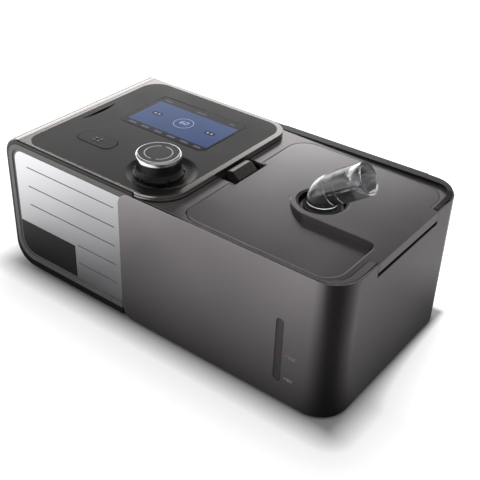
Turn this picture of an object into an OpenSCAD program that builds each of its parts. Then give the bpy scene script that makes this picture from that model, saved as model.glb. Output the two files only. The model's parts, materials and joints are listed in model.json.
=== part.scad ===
/* [Housing] */
// Overall length of the housing along the front
body_l = 278; // [272:1:290]
// Overall depth of the housing from front to back
body_d = 148; // [146:1:156]
// Height of the housing above its own underside
house_h = 100.5; // [99:0.5:108]
// How far the rubber feet hold the housing up
foot_h = 1.5; // [1:0.5:3]
// Radius of each rubber foot
foot_r = 7; // [5:0.5:9]
// Thickness of the tray's floor
floor_t = 2.5; // [2:0.1:3]
// Radius of the left shell's upper edge
shell_top_r = 14; // [10:1:16]
// Radius of the left shell's lower edge
shell_low_r = 17; // [12:1:18]
// Wall of the left shell
shell_t = 2; // [1.6:0.1:2.4]
// Plan radius of the left shell's back corner
shell_back_r = 12; // [9:1:14]

/* [Front] */
// Step from the shell's outline to the black rim
rim_in = 0.8; // [0.7:0.1:1]
// Width of the black rim
rim_w = 2.4; // [2.2:0.1:3]
// Extra width of the rim along the bottom
rim_foot = 3; // [2:0.2:4]
// Width of the bezel above and beside the panel
bezel_w = 5.2; // [4.6:0.1:5.6]
// Extra width of the bezel under the panel
bezel_foot = 3.5; // [3:0.1:4]
// Thickness of the bezel
bezel_t = 3.2; // [3:0.1:3.4]
// Depth of the panel's face behind the bezel
panel_in = 0.8; // [0.6:0.1:1]
// Number of shallow lines across the panel
line_n = 5; // [3:1:6]
// Spacing of the lines
line_pitch = 15.1; // [13:0.1:16]
// Width of each line
line_w = 0.9; // [0.6:0.1:1.2]
// Length of the black badge plate
badge_l = 55; // [48:1:60]
// Height of the black badge plate
badge_h = 26.5; // [22:0.5:28]

/* [Wrap cover] */
// Distance from the left end to the wrap cover's front edge
cover_x = 108; // [102:1:112]
// Sheet thickness of the wrap cover
cover_t = 1; // [0.8:0.1:1.2]
// Plan radius of the front corner
cover_front_r = 20; // [17:1:22]
// Plan radius of the back corner
cover_back_r = 18; // [16:1:20]
// Radius of the cover's free corners on the front
cover_edge_r = 10; // [7:1:12]
// Width of the water level slit
slit_w = 5.5; // [4.5:0.1:6.5]
// Height of the water level slit
slit_h = 49; // [40:1:54]
// Distance from the right end to the slit's middle
slit_in = 40.2; // [36:0.2:48]

/* [Console] */
// Height of the console's top above the housing's top
console_rise = 4; // [3.6:0.1:4.6]
// Distance from the left end to the console's right edge
console_x = 146.2; // [145:0.2:147]
// Distance from the back to the console's back edge
console_in = 7; // [6:0.5:9]
// Width of the trim round the fascia
trim_w = 4.4; // [4:0.1:5]
// Thickness of the fascia
fascia_t = 2.5; // [2.2:0.1:2.8]
// Length of the display window
lens_l = 78; // [72:1:80]
// Depth of the display window
lens_d = 52; // [46:1:54]
// Distance from the left end to the window
lens_x = 43; // [41:0.5:45]
// Distance from the front to the window
lens_y = 69.5; // [68:0.5:71]
// Length of the crescent slot
slot_l = 36; // [30:1:40]
// Width of the crescent slot
slot_w = 2.8; // [2:0.1:3.4]
// Distance from the left end to the slot's straight edge
slot_x = 23; // [22:0.2:24]

/* [Knob] */
// Distance from the left end to the knob's axis
knob_x = 118; // [115:0.5:119]
// Distance from the front to the knob's axis
knob_y = 29; // [28:0.5:31]
// Radius of the knob's flared foot
knob_foot_r = 16.9; // [16:0.1:17.5]
// Radius of the knob's chrome ring
knob_ring_r = 15.1; // [14:0.1:15.6]
// Number of notches round the knob's foot
notch_n = 6; // [4:1:8]
// Height of the knob above the console
knob_h = 15.5; // [13:0.5:18]
// Travel when the knob is pressed
knob_press = 0.6; // [0.4:0.1:0.7]
// Radius of the encoder shaft
shaft_r = 3; // [2.6:0.1:3.2]

/* [Home button] */
// Length of the home button
home_l = 31; // [27:1:32]
// Depth of the home button
home_d = 14; // [12:0.5:15]
// Distance from the left end to the button's middle
home_x = 55; // [52:0.5:57]
// Distance from the front to the button's middle
home_y = 36.5; // [34:0.5:38]
// Travel of the home button
home_press = 0.8; // [0.4:0.1:0.9]

/* [Lid] */
// Distance from the left end to the lid's left edge
lid_x = 156.5; // [155.5:0.5:157]
// Distance from the front to the lid's front edge
lid_y = 3; // [2.8:0.1:3.3]
// Distance from the back to the lid's back edge
lid_back = 11; // [10:0.5:13]
// Plan radius of the lid's corners
lid_r = 15; // [13:1:16]
// Thickness of the lid's walls
lid_t = 2.4; // [2:0.1:2.6]
// Height of the lid from its liner to its top
lid_h = 10.8; // [10.5:0.1:11]
// Depth of the hand scoop
scoop_h = 5; // [4:0.2:5.2]
// Slope of the scoop's ramp in degrees
scoop_slope = 9; // [7:1:12]
// Width of the dark groove between the wrap cover and the lid's frame
groove_w = 0.8; // [0.5:0.1:1]
// Depth of that groove
groove_h = 1.2; // [0.8:0.1:1.6]
// Seam between the lid and its frame
lid_gap = 0.4; // [0.3:0.1:0.5]
// Distance from the front to the hinge strip
strip_y = 37.5; // [34:0.5:40]
// Distance from the back to the hinge strip
strip_back = 36; // [32:0.5:38]
// Radius of the hinge barrel
barrel_r = 3; // [2.8:0.1:3.2]
// Radius of the hinge pin
pin_r = 1; // [0.8:0.1:1.2]

/* [Elbow] */
// Outer radius of the hose outlet
outlet_r = 11; // [10.5:0.1:11.3]
// Length of the outlet's full-size end
outlet_l = 19.5; // [16:0.5:22]
// Length from the bend to the open end
elbow_l = 33.5; // [30:0.5:38]
// Outer radius of the elbow's neck
neck_r = 10.25; // [9.8:0.05:10.4]
// Bore radius of the elbow
elbow_bore = 8.8; // [8:0.1:9]
// Height of the bend above the lid
bend_h = 6.5; // [6:0.5:9]
// Centre radius of the bend
bend_r = 12; // [11.5:0.5:14]
// Slope of the outlet in degrees
elbow_rise = 33; // [25:1:40]
// Turn of the outlet towards the back in degrees
elbow_turn = 9; // [0:1:20]
// Distance from the right end to the elbow's axis
seat_in = 63; // [60:0.5:66]
// Distance from the front to the elbow's axis
seat_y = 75; // [73:0.5:77]
// Radius of the round opening in the lid
seat_r = 17; // [16.5:0.1:17.4]
// Radius of the raised end round the opening
mound_r = 20.5; // [20:0.1:22]

/* [Latch] */
// Length of the latch block along the lid's edge
latch_l = 20; // [16:0.5:21]
// Width of the latch block
latch_w = 10.5; // [9.5:0.5:12]
// Distance from the front to the block's middle
latch_y = 72.5; // [70:0.5:75]
// Height of the latch block's ridge above the lid
latch_h = 3.7; // [3:0.1:4]
// Travel of the latch
latch_travel = 1.5; // [1:0.1:1.6]
// Length of the notch in the lid round the latch
notch_l = 37; // [33:1:39]

/* [Humidifier] */
// Wall of the water tub
tub_t = 2; // [1.6:0.1:2.4]
// Height of the tub's own wall
tub_h = 53; // [46:1:54]
// Distance from the tub's outer side to the heater plate
heater_in = 15; // [14:0.5:20]
// Thickness of the heater plate
heater_t = 2.8; // [2:0.2:3]
// Wall of the cradle that holds the tub
cradle_t = 1.5; // [1.2:0.1:1.8]

/* [Blower] */
// Outer radius of the blower housing
blower_r = 34; // [32:1:36]
// Height of the blower housing
blower_h = 38; // [37:0.5:40]
// Number of impeller blades
blade_n = 11; // [7:1:15]
// Radius of the motor shaft
rotor_r = 2; // [1.5:0.1:2.2]
// Outer radius of the air duct
duct_r = 9; // [8.6:0.1:9.4]

/* [Back] */
// Length of the filter cover
filter_l = 56; // [48:1:58]
// Height of the filter cover
filter_h = 48; // [40:1:50]
// Number of slots in the filter cover
grille_n = 8; // [6:1:9]
// Bore radius of the power socket
jack_r = 3.2; // [2.75:0.05:3.4]
// Rise of the black lip behind the lid, at its right end
lip_h = 2.2; // [1.2:0.1:2.4]
// Rise of the lip where it starts behind the console
lip_low = 0.4; // [0.3:0.1:0.7]
// Width of the lip
lip_w = 6.6; // [6:0.2:7.2]

/* [Hidden] */
$fn = 64;

// Clearances
seam = 0.3;
touch_gap = 0.1;
running = 0.05;
pin_fit = 0.02;
eps = 0.01;

// Levels above the surface that the feet stand on
z_under = foot_h;
z_top = foot_h + house_h;
z_con = z_top + console_rise;
z_floor = z_under + shell_t + 0.2 + floor_t;
plate_t = 2.5;
z_plate = z_top - plate_t;
z_fascia = z_con - fascia_t;
case_t = 3.4;
z_case = z_con - case_t;
z_liner = z_top - lid_h;
liner_t = 1.6;
z_collar = z_liner - 3.2;
y_back = body_d - lid_back;
console_back = body_d - console_in;
strip_l = body_d - strip_back - strip_y;
seat_x = body_l - seat_in;
slit_x = body_l - slit_in;

// The hinge line
hinge_x = body_l - barrel_r;
hinge_z = z_top - 9 + barrel_r;
swing_r = 7.1;
strip_end = strip_y + strip_l;
cheek_l = 8;
wall_drop = 0.8;

// The lid's right edge, where its upper corner swings clear of the frame
lid_end = hinge_x - sqrt(swing_r * swing_r - pow(z_top - hinge_z, 2));
frame_y = 4.2;
frame_end = body_d - 3.6;
back_t = 3.2;

// The front
panel_line = rim_in + rim_w + bezel_w;
panel_low = panel_line + bezel_foot;
front_end = cover_x + 13;
badge_t = 0.5;
rim_y = 0.4;
rim_back = 2.2;
shell_y = rim_y + 1;

// The board and the console's inner parts
board_t = 1.6;
z_board = z_plate - 3;
board_x = 22;
board_end = 128.5;
board_y = 20;
board_back = body_d - 22;
standoff_r = 2.2;
standoffs = [
    [board_x + 8, board_y + 4], [board_x + 8, board_back - 4],
    [board_end - standoff_r, board_y + 40], [board_end - standoff_r, board_back - 4]];
dish_r = 24;
dish_h = 1;
bush_r = shaft_r + 1.2;
encoder_w = 11;
encoder_h = 5.2;

// The latch
latch_x = console_x + latch_travel + seam;
latch_end = latch_x + latch_w;
ridge_x = latch_x + 5;
notch_x = latch_end + 2.2;
notch_r = 2;
pocket_y = [latch_y - notch_l / 2 + 1.5, latch_y + notch_l / 2 - 1.5];
beyond = [body_l + 20, body_d + 20];
hair = 0.02;
notch_side = notch_x - hair;
lid_parts = [[[notch_x, -1], beyond], [[0, -1], [notch_side, beyond[1]]]];
frame_parts = [[[notch_x, -1], beyond], [[0, -1], [notch_side, pocket_y[0]]],
    [[0, pocket_y[0] + hair], [notch_side, pocket_y[1] - hair]], [[0, pocket_y[1]], [notch_side, beyond[1]]]];
pocket_z = z_top - 5.3;
tail_l = 8;
tail_w = 15;
spring_l = 8;
spring_r = 1.2;

// Screws, all of one size
screw_r = 1.5;
screw_head_r = 2.8;
screw_head_h = 1.8;
screw_l = 8;
lid_screw_l = 3.4;
z_screw = z_under + 0.6;
case_points = [[40, 12], [138, 12], [38, body_d - 14], [138, body_d - 14]];
column_r = 4;
tub_x = 157;
tub_end = body_l - 11;
tub_y = 8;
tub_back = y_back;
tub_corner = 16;
boss_in = 9;
cradle_points = [
    [tub_x + boss_in, tub_y + boss_in + 3], [tub_x + boss_in, tub_back - boss_in - 3],
    [tub_end - boss_in, tub_y + boss_in + 3], [tub_end - boss_in, tub_back - boss_in - 3]];
screw_points = concat(case_points, cradle_points);

// The humidifier, from the heater up
heater_x = (tub_x + tub_end) / 2;
heater_y = (tub_y + tub_back) / 2;
heater_r = (tub_end - tub_x) / 2 - heater_in;
insulator_t = 2;
z_heater = z_floor + insulator_t;
z_base = z_heater + heater_t;
base_t = 1.5;
z_tub = z_base + base_t;
z_rim = z_tub + tub_h;
seal_t = 2;
z_cap = z_rim + seal_t;
z_lid_low = z_collar - 0.1;
port_y = 92;
z_port = z_top - 28;
partition_x = tub_x - 8;
partition_t = 2;
air_port_r = 9;

// The blower
blower_x = 80;
blower_y = 70;
z_blower = z_floor + 6;
z_split = z_blower + 20;
z_lid_blower = z_blower + blower_h;
blower_t = 2;
ear_in = 28;
mount_r = 5;
z_outlet = z_split + duct_r + touch_gap;
outlet_y = blower_y + 22;
riser_x = partition_x - 18;
sleeve_r = 7.5;
bearing_r = 5;
z_bearing = z_blower + 4;
bearing_h = 3;
bearing_step = 11;

// The rear
lip_x = console_x - 10;
filter_x = 47;
filter_z = z_under + 24;
jack_x = 124;
jack_z = z_under + 20;
bend_cut = bend_r * tan((90 - elbow_rise) / 2);
box_t = 1.5;
box_l = 22;
foam_t = 6;

// Colours
shell_grey = "#9a9695";
frame_black = "#1d1c1b";
bezel_grey = "#8f8c8b";
panel_silver = "#d4d4d6";
cover_grey = "#5a5656";
lid_grey = "#65615f";
fascia_grey = "#454140";
steel = "#b9bcc0";
board_green = "#2c5a3c";
smoke = "#9fa4aa";
soft_black = "#262626";

module placed() {
    translate([-body_l / 2, -body_d / 2, 0]) children();
}

// A rectangle from a to b with a radius at each corner: near left, near right, far right, far left
module rounded(a, b, r) {
    polygon([
        [a[0] + r[0], a[1]], [b[0] - r[1], a[1]], [b[0], a[1] + r[1]], [b[0], b[1] - r[2]],
        [b[0] - r[2], b[1]], [a[0] + r[3], b[1]], [a[0], b[1] - r[3]], [a[0], a[1] + r[0]]]);
    corner([a[0] + r[0], a[1] + r[0]], r[0]);
    corner([b[0] - r[1], a[1] + r[1]], r[1]);
    corner([b[0] - r[2], b[1] - r[2]], r[2]);
    corner([a[0] + r[3], b[1] - r[3]], r[3]);
}

module corner(at, r) {
    if (r > 0) translate(at) circle(r);
}

// A plan drawing raised from z0 to z1
module rise(z0, z1) {
    translate([0, 0, z0]) linear_extrude(z1 - z0) children();
}

// A front drawing (x and z) pushed back from y0 to y1
module push(y0, y1) {
    translate([0, y1, 0]) rotate([90, 0, 0]) linear_extrude(y1 - y0) children();
}

// A cube from corner a to corner b
module block(a, b) {
    translate(a) cube(b - a);
}

// A moulding as solids a hair apart, one in each upright box, so that its collision can follow a notch
module in_parts(parts) {
    for (p = parts) intersection() {
        children();
        block([p[0][0], p[0][1], 0], [p[1][0], p[1][1], 2 * z_top]);
    }
}

// A cylinder along X or Y from a point
module rod_x(at, l, r) {
    translate(at) rotate([0, 90, 0]) cylinder(l, r, r);
}

module rod_y(at, l, r) {
    translate(at) rotate([-90, 0, 0]) cylinder(l, r, r);
}

module rod_z(at, l, r) {
    translate(at) cylinder(l, r, r);
}

// The front outline of the left end, drawn in by a distance, out to x1
module front_outline(in, x1, foot = 0) {
    rounded([in, z_under + in + foot], [x1, z_con - in],
        [shell_low_r - in * 0.6, 0, 0, shell_top_r - in * 0.7]);
}

// The plan of the whole housing, drawn in by a distance
module house_plan(in) {
    rounded([in, in], [body_l - in, body_d - in],
        [0, cover_front_r - in, cover_back_r - in, shell_back_r - in]);
}

// Left shell and front

module left_shell() {
    color(shell_grey) placed() difference() {
        intersection() {
            push(shell_y, body_d) front_outline(0, 34);
            rise(0, z_con + 1) house_plan(0);
        }
        intersection() {
            push(-1, body_d - shell_t) front_outline(shell_t, 50);
            rise(0, z_con) rounded([shell_t, -50], [80, body_d - shell_t],
                [0, 0, 0, shell_back_r - shell_t]);
        }
        block([shell_top_r + 1.2, -1, z_case - 1], [60, body_d + 1, z_con + 1]);
        block([30, -1, z_under + 10], [60, body_d + 1, z_con + 1]);
        block([30, body_d - back_t - touch_gap, 0], [60, body_d + 1, z_top]);
        block([-1, -1, z_top], [60, console_back - 40, z_top - 1]);
        translate([-1, console_back, z_con]) rotate([-30, 0, 0]) cube([60, 20, 10]);
        shell_screw_slots();
    }
}

module shell_screw_slots() {
    for (p = case_points) rod_z([p[0], p[1], 0], z_floor, screw_head_r + 0.6);
}

module front_rim() {
    color(frame_black) placed() difference() {
        union() {
            push(rim_y, shell_y - touch_gap) front_outline(rim_in, front_end);
            push(rim_y, rim_back) front_outline(shell_t + touch_gap, front_end);
        }
        push(-1, rim_back + 1) front_outline(rim_in + rim_w, front_end + 1, rim_foot);
        cover_edge_cut(front_end + 1);
    }
}

// Room for the wrap cover's front edge
module cover_edge_cut(x1) {
    push(-1, cover_t + touch_gap) rounded([cover_x - seam, -5], [x1, z_top + touch_gap],
        [cover_edge_r, 0, 0, cover_edge_r]);
}

module front_bezel() {
    color(bezel_grey) placed() difference() {
        push(0, bezel_t) front_outline(rim_in + rim_w + touch_gap, front_end, rim_foot);
        push(-1, bezel_t + 1) front_outline(panel_line, front_end + 1, bezel_foot);
        push(-1, panel_in) front_outline(panel_line - 1.8, front_end + 1, bezel_foot + 0.2);
        cover_edge_cut(front_end + 1);
    }
}

module panel_outline(in) {
    front_outline(panel_line + in, front_end, bezel_foot);
}

module front_panel() {
    color(panel_silver) placed() difference() {
        push(panel_in, bezel_t) panel_outline(touch_gap);
        for (i = [0 : line_n - 1])
            block([line_x(i), panel_in - 1, line_z(i) - line_w / 2],
                [cover_x - 5, panel_in + 0.5, line_z(i) + line_w / 2]);
        push(0, panel_in + badge_t) badge_outline(-touch_gap);
        cover_edge_cut(front_end + 1);
    }
}

function line_z(i) = z_top - 15 - i * line_pitch;
function line_x(i) = line_z(i) < panel_low + badge_h + 5 ? panel_line + badge_l + 3 : panel_line + 12;

module badge_outline(in) {
    intersection() {
        panel_outline(touch_gap + in);
        square([panel_line + badge_l - in, z_under + panel_low + badge_h - in]);
    }
}

module front_badge() {
    color(frame_black) placed() push(panel_in - 0.3, panel_in + badge_t) badge_outline(0.1);
}

// Wrap cover and level window

module wrap_cover() {
    color(cover_grey) placed() difference() {
        rise(z_under, z_top) difference() {
            house_plan(0);
            house_plan(cover_t);
        }
        block([-1, -1, 0], [cover_x, cover_t + 2, z_top + 1]);
        block([-1, cover_t + 1, 0], [body_l / 2, body_d + 1, z_top + 1]);
        block([-1, body_d / 2, 0], [rear_end() + seam, body_d + 1, z_top + 1]);
        push(-1, cover_t + 1) cover_corner_waste();
        push(-1, cover_t + 1) slit(0);
        block([hinge_x - 10, strip_y - seam, hinge_z - barrel_r - wall_drop],
            [body_l + 1, strip_end + seam, z_top + 1]);
    }
}

function rear_end() = body_l - cover_back_r - 8;

module cover_corner_waste() {
    difference() {
        translate([cover_x - 1, 0]) square([cover_edge_r + 1, z_top + 1]);
        rounded([cover_x, z_under], [body_l, z_top], [cover_edge_r, 0, 0, cover_edge_r]);
    }
}

module slit(grow) {
    r = slit_w / 2 + grow;
    z0 = z_under + 14.3 + slit_w / 2;
    z1 = z0 + slit_h - slit_w;
    translate([slit_x, z0]) circle(r);
    translate([slit_x, z1]) circle(r);
    translate([slit_x - r, z0]) square([2 * r, z1 - z0]);
}

module level_window() {
    color(smoke) placed() {
        push(seam, cover_t + eps) slit(-touch_gap);
        push(cover_t, cover_t + 1.2) slit(2);
    }
}

// Base

module base_tray() {
    color(soft_black) placed() difference() {
        union() {
            rise(z_floor - floor_t, z_floor) tray_plan(shell_t + seam);
            intersection() {
                rise(z_under, z_floor) tray_plan(shell_t + seam);
                block([34 + seam, 0, 0], [body_l, body_d, z_floor]);
            }
            intersection() {
                rise(z_floor - floor_t, z_floor + 8) difference() {
                    tray_plan(5.2);
                    tray_plan(5.2 + 1.8);
                }
                block([0, 0, 0], [partition_x + 1, body_d, z_floor + 8]);
            }
            block([partition_x, frame_y + 2, z_floor - 1],
                [partition_x + partition_t, frame_end - 2, z_collar - 1.5]);
        }
        for (p = screw_points) {
            rod_z([p[0], p[1], 0], z_floor + 1, screw_r + 0.2);
            rod_z([p[0], p[1], 0], z_screw + screw_head_h, screw_head_r + 0.2);
        }
        for (p = foot_points()) rod_z([p[0], p[1], 0], z_under + 2, foot_r + touch_gap);
        for (p = case_points) rod_z([p[0], p[1], z_floor], 20, column_r + 0.5);
        rod_x([partition_x - 1, port_y, z_port], partition_t + 2, duct_r + 0.6);
    }
}

module tray_plan(in) {
    intersection() {
        rounded([in, in], [body_l - in, body_d - in],
            [0, cover_front_r - in, cover_back_r - in, shell_back_r - 5]);
        union() {
            translate([shell_low_r - 1 + max(0, in - 5.2), frame_y]) square([body_l, frame_end - frame_y]);
            translate([front_end + 1, 0]) square([body_l, frame_end]);
        }
    }
}

function foot_points() = [
    [54, 20], [54, body_d - 20], [body_l - 24, 32], [body_l - 24, body_d - 32]];

module rubber_feet() {
    color(soft_black) placed() for (p = foot_points()) rod_z([p[0], p[1], 0], z_under + 2, foot_r);
}

module case_screws() {
    color(steel) placed() for (p = screw_points) pan_screw([p[0], p[1], z_screw]);
}

// A screw standing on its head
module pan_screw(at) {
    rod_z(at, screw_head_h, screw_head_r);
    rod_z([at[0], at[1], at[2] + screw_head_h - eps], screw_l, screw_r);
}

// Top frame

module lid_outline(grow) {
    difference() {
        rounded([lid_x - grow, lid_y - grow], [lid_end + grow, y_back + grow],
            [12 + grow, lid_r + grow, lid_r + grow, lid_r + grow]);
        difference() {
            translate([lid_x - 10, latch_y - notch_l / 2 + grow])
                square([notch_x - lid_x + 10 - grow, notch_l - 2 * grow]);
            notch_fillets(grow);
        }
    }
}

// The rounded inner corners of the notch
module notch_fillets(grow) {
    r = notch_r;
    for (s = [-1, 1]) translate([notch_x - grow, latch_y + s * (notch_l / 2 - grow)])
        difference() {
            translate([-r, s > 0 ? -r : 0]) square(r);
            translate([-r, -s * r]) circle(r);
        }
}

module top_frame() {
    color(lid_grey) placed() in_parts(frame_parts) difference() {
        union() {
            rise(z_plate, z_top) difference() {
                frame_plan();
                lid_outline(lid_gap);
            }
            rise(z_collar, z_plate + eps) difference() {
                lid_outline(lid_gap + 0.9);
                lid_outline(lid_gap);
                translate([lid_end - 3, strip_y - cheek_l]) square([20, strip_l + 2 * cheek_l]);
            }
            hinge_cheeks();
            block([hinge_x - 4.4, 22, z_collar], [body_l - cover_t - seam, body_d - 22, z_collar + 2.4]);
            difference() {
                latch_guide();
                rise(z_collar - 1, z_top + 1) lid_outline(lid_gap);
            }
            for (p = case_points) rod_z([p[0], p[1], z_floor + 0.2], z_plate - z_floor, column_r);
            for (p = standoffs)
                rod_z([p[0], p[1], z_board + board_t], z_plate - z_board, standoff_r);
        }
        hinge_pin_bore(pin_fit);
        rise(z_plate - 1, z_top + 1) console_well();
        block([hinge_x - 10, strip_y - seam, hinge_z - barrel_r - wall_drop],
            [body_l + 1, strip_end + seam, z_top + 1]);
        for (p = case_points) rod_z([p[0], p[1], z_floor], 14, screw_r + pin_fit);
        latch_ways();
        rise(z_top - groove_h, z_top + 1) difference() {
            square([body_l, body_d]);
            house_plan(cover_t + groove_w);
        }
    }
}

module frame_plan() {
    in = cover_t + seam;
    difference() {
        rounded([8, in], [body_l - in, body_d - in], [0, cover_front_r - in, cover_back_r - in, 8]);
        square([front_end, frame_y]);
        translate([0, frame_end]) square([body_l, 20]);
    }
}

// The opening under the console for its electronics
module console_well() {
    translate([34, board_y - 4]) square([board_end - 2 * standoff_r - 0.2 - 34, board_back - board_y + 2.5]);
}

module hinge_cheeks() {
    for (y = [strip_y - cheek_l, strip_end])
        block([hinge_x - 2.6, y, hinge_z - 2.6], [body_l - cover_t - seam, y + cheek_l, z_plate + eps]);
    for (y = [strip_y - cheek_l, strip_end])
        block([hinge_x - 2.6, y, z_collar], [body_l - cover_t - seam, y + cheek_l, hinge_z]);
}

module hinge_pin_bore(grow) {
    rod_y([hinge_x, strip_y - cheek_l + 1, hinge_z], strip_l + 2 * cheek_l - 2, pin_r + grow);
}

module hinge_pin() {
    color(steel) placed() rod_y([hinge_x, strip_y - cheek_l + 1.2, hinge_z],
        strip_l + 2 * cheek_l - 2.4, pin_r);
}

// The shelf under the latch and the two rails beside its tail
module latch_guide() {
    block([latch_x - tail_l - spring_l - 3, latch_y - notch_l / 2, z_collar + 4],
        [notch_x - lid_gap - 0.2, latch_y + notch_l / 2, pocket_z]);
    for (s = [-1, 1])
        translate([0, latch_y + s * (tail_w / 2 + seam + 1), 0])
            block([latch_x - tail_l - spring_l - 3, -1, pocket_z - 1], [latch_x - 0.5, 1, z_plate + eps]);
    block([latch_x - tail_l - spring_l - 3, latch_y - tail_w / 2 - 1, pocket_z - 1],
        [latch_x - tail_l - spring_l - 1, latch_y + tail_w / 2 + 1, z_plate + eps]);
}

// The open pocket round the latch block, up to the lid's edge
module latch_ways() {
    block([latch_x - latch_travel - seam, pocket_y[0], pocket_z], [notch_x, pocket_y[1], z_top + 1]);
}

module lid_latch() {
    color(frame_black) placed() {
        push(latch_y - latch_l / 2, latch_y + latch_l / 2) polygon([
            [latch_x, pocket_z + seam], [latch_end, pocket_z + seam], [latch_end, z_top - 1],
            [ridge_x, z_top + latch_h], [latch_x, z_top + latch_h - 1]]);
        block([latch_x - tail_l, latch_y - tail_w / 2, pocket_z + seam],
            [latch_x + eps, latch_y + tail_w / 2, z_plate - seam]);
    }
}

module latch_spring() {
    at = [latch_x - tail_l - spring_l - 1, latch_y, (pocket_z + z_plate) / 2];
    l = spring_l + 1 - latch_travel - seam;
    color(steel) placed() difference() {
        rod_x(at, l, spring_r);
        rod_x([at[0] - 1, at[1], at[2]], l + 2, spring_r - 0.4);
    }
}

// Console

module console_plan(in) {
    rounded([shell_top_r + 1.3 + in, 1.2 + in], [console_x - in, console_back - in],
        [0, 24 - in, 17 - in, 0]);
}

module fascia_plan(in) {
    rounded([17.9 + in, 3 + in], [console_x - trim_w - in, console_back - 3.5 - in],
        [12 - in, 20 - in, 14 - in, 14 - in]);
}

module console_case() {
    color(shell_grey) placed() difference() {
        union() {
            rise(z_case, z_con) console_plan(0);
            rise(z_top, z_case + eps) console_plan(8);
        }
        rise(z_fascia, z_con + 1) fascia_plan(-touch_gap);
        rise(z_top - 1, z_con) fascia_plan(9);
        slot_box(touch_gap);
        difference() {
            rise(z_con - 2.1, z_con - 1.5) translate([-20, -20]) square([body_l, 2 * body_d]);
            rise(z_top, z_con) console_plan(0.9);
        }
        block([0, 0, z_top - 1], [front_end + touch_gap, bezel_t + touch_gap, z_fascia]);
        block([0, 0, z_top - 1],
            [front_end + touch_gap, rim_back + touch_gap, z_con - rim_in + touch_gap]);
    }
}

module dish_cut() {
    translate([knob_x - 0.5, knob_y + 3.5, z_con - dish_h + dish_ball()]) sphere(dish_ball(), $fn = 96);
}

function dish_ball() = (dish_r * dish_r + dish_h * dish_h) / (2 * dish_h);

module console_fascia() {
    color(fascia_grey) placed() difference() {
        rise(z_fascia, z_con) fascia_plan(0);
        rise(z_fascia - 1, z_con + 1) lens_plan(touch_gap);
        rise(z_fascia - 1, z_con + 1) home_plan(0.35);
        rise(z_fascia - 1, z_con + 1) crescent(0);
        rod_z([knob_x, knob_y, z_fascia - 1], 5, bush_r + 0.3);
        dish_cut();
    }
}

module lens_plan(grow) {
    rounded([lens_x - grow, lens_y - grow], [lens_x + lens_l + grow, lens_y + lens_d + grow],
        [2, 5, 3, 2]);
}

module home_plan(grow) {
    r = home_d / 2 - 1;
    rounded([home_x - home_l / 2 - grow, home_y - home_d / 2 - grow],
        [home_x + home_l / 2 + grow, home_y + home_d / 2 + grow], [r, r, r, r]);
}

// A straight left edge and an arched right edge
module crescent(grow) {
    bow = (slot_l * slot_l / 4 + slot_w * slot_w) / (2 * slot_w);
    intersection() {
        translate([slot_x + slot_w - bow, lens_y + 0.5]) circle(bow + grow, $fn = 180);
        translate([slot_x - grow, lens_y - 30]) square([slot_w + 2 * grow, 60]);
    }
}

module display_lens() {
    color("#26365e") placed() rise(z_fascia, z_con - 0.1) lens_plan(0);
}

module display_module() {
    color(steel) placed() block([lens_x - 2, lens_y - 2.5, z_fascia - 3.2],
        [lens_x + lens_l + 2, lens_y + lens_d + 2, z_fascia]);
}

module slot_box(grow) {
    block([slot_x - 2 - grow, lens_y - 20 - grow, z_fascia - 1.2 - grow],
        [slot_x + slot_w + 2 + grow, lens_y + 21 + grow, z_fascia]);
}

module slot_insert() {
    color(soft_black) placed() slot_box(0);
}

module main_board() {
    color(board_green) placed() difference() {
        block([board_x, board_y, z_board], [board_end, board_back, z_board + board_t]);
        rod_z([knob_x, knob_y, z_board - 1], 5, shaft_r + 0.6);
    }
}

module encoder_body() {
    z0 = z_board + board_t;
    color(steel) placed() difference() {
        union() {
            block([knob_x - encoder_w / 2, knob_y - encoder_w / 2, z0],
                [knob_x + encoder_w / 2, knob_y + encoder_w / 2, z0 + encoder_h]);
            rod_z([knob_x, knob_y, z0 + encoder_h - eps], z_con - dish_h - 0.3 - z0 - encoder_h, bush_r);
        }
        rod_z([knob_x, knob_y, z0 - 1], 20, shaft_r + running);
    }
}

module encoder_shaft() {
    z0 = z_board + board_t + 0.5;
    color(steel) placed() rod_z([knob_x, knob_y, z0], z_con + knob_h - 3 - z0, shaft_r);
}

module encoder_plunger() {
    z1 = z_board + board_t + 0.4;
    color(soft_black) placed() rod_z([knob_x, knob_y, z1 - 1], 1, shaft_r);
}

module button_switch() {
    z0 = z_board + board_t;
    color(soft_black) placed() {
        block([home_x - 3, home_y - 3, z0], [home_x + 3, home_y + 3, z0 + 2]);
        rod_z([home_x, home_y, z0 + 2 - eps], 0.8, 1.5);
    }
}

module home_button() {
    z_switch = z_board + board_t + 2.8;
    color(fascia_grey) placed() {
        rise(z_fascia - seam - eps, z_con + 0.2) home_plan(0);
        rise(z_fascia - seam - 1, z_fascia - seam) home_plan(1.2);
        rod_z([home_x, home_y, z_switch + home_press + seam],
            z_fascia - seam - 1 - z_switch - home_press - seam + eps, 2);
    }
}

module alarm_buzzer() {
    color(soft_black) placed() rod_z([home_x - 7, home_y + 18.5, z_board + board_t], 3, 6);
}

// Knob

module knob_grip() {
    z0 = z_con + knob_press;
    h = knob_h - knob_press;
    top_r = knob_ring_r - 2;
    color(soft_black) placed() translate([knob_x, knob_y, z0]) difference() {
        rotate_extrude($fn = 96) polygon([
            [shaft_r + pin_fit, 0], [knob_foot_r, 0], [knob_foot_r, 1.6], [knob_foot_r - 1, 2.6],
            [knob_ring_r - 0.5, 5], [knob_ring_r - 0.4, h - 3.4], [top_r, h - 3.4], [top_r, h - 1.4],
            [shaft_r + pin_fit, h - 1.4]]);
        for (i = [0 : notch_n - 1]) rotate(34 + i * 360 / notch_n)
            rod_z([knob_foot_r + 1.4, 0, -1], 6, 2.4);
    }
}

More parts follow.
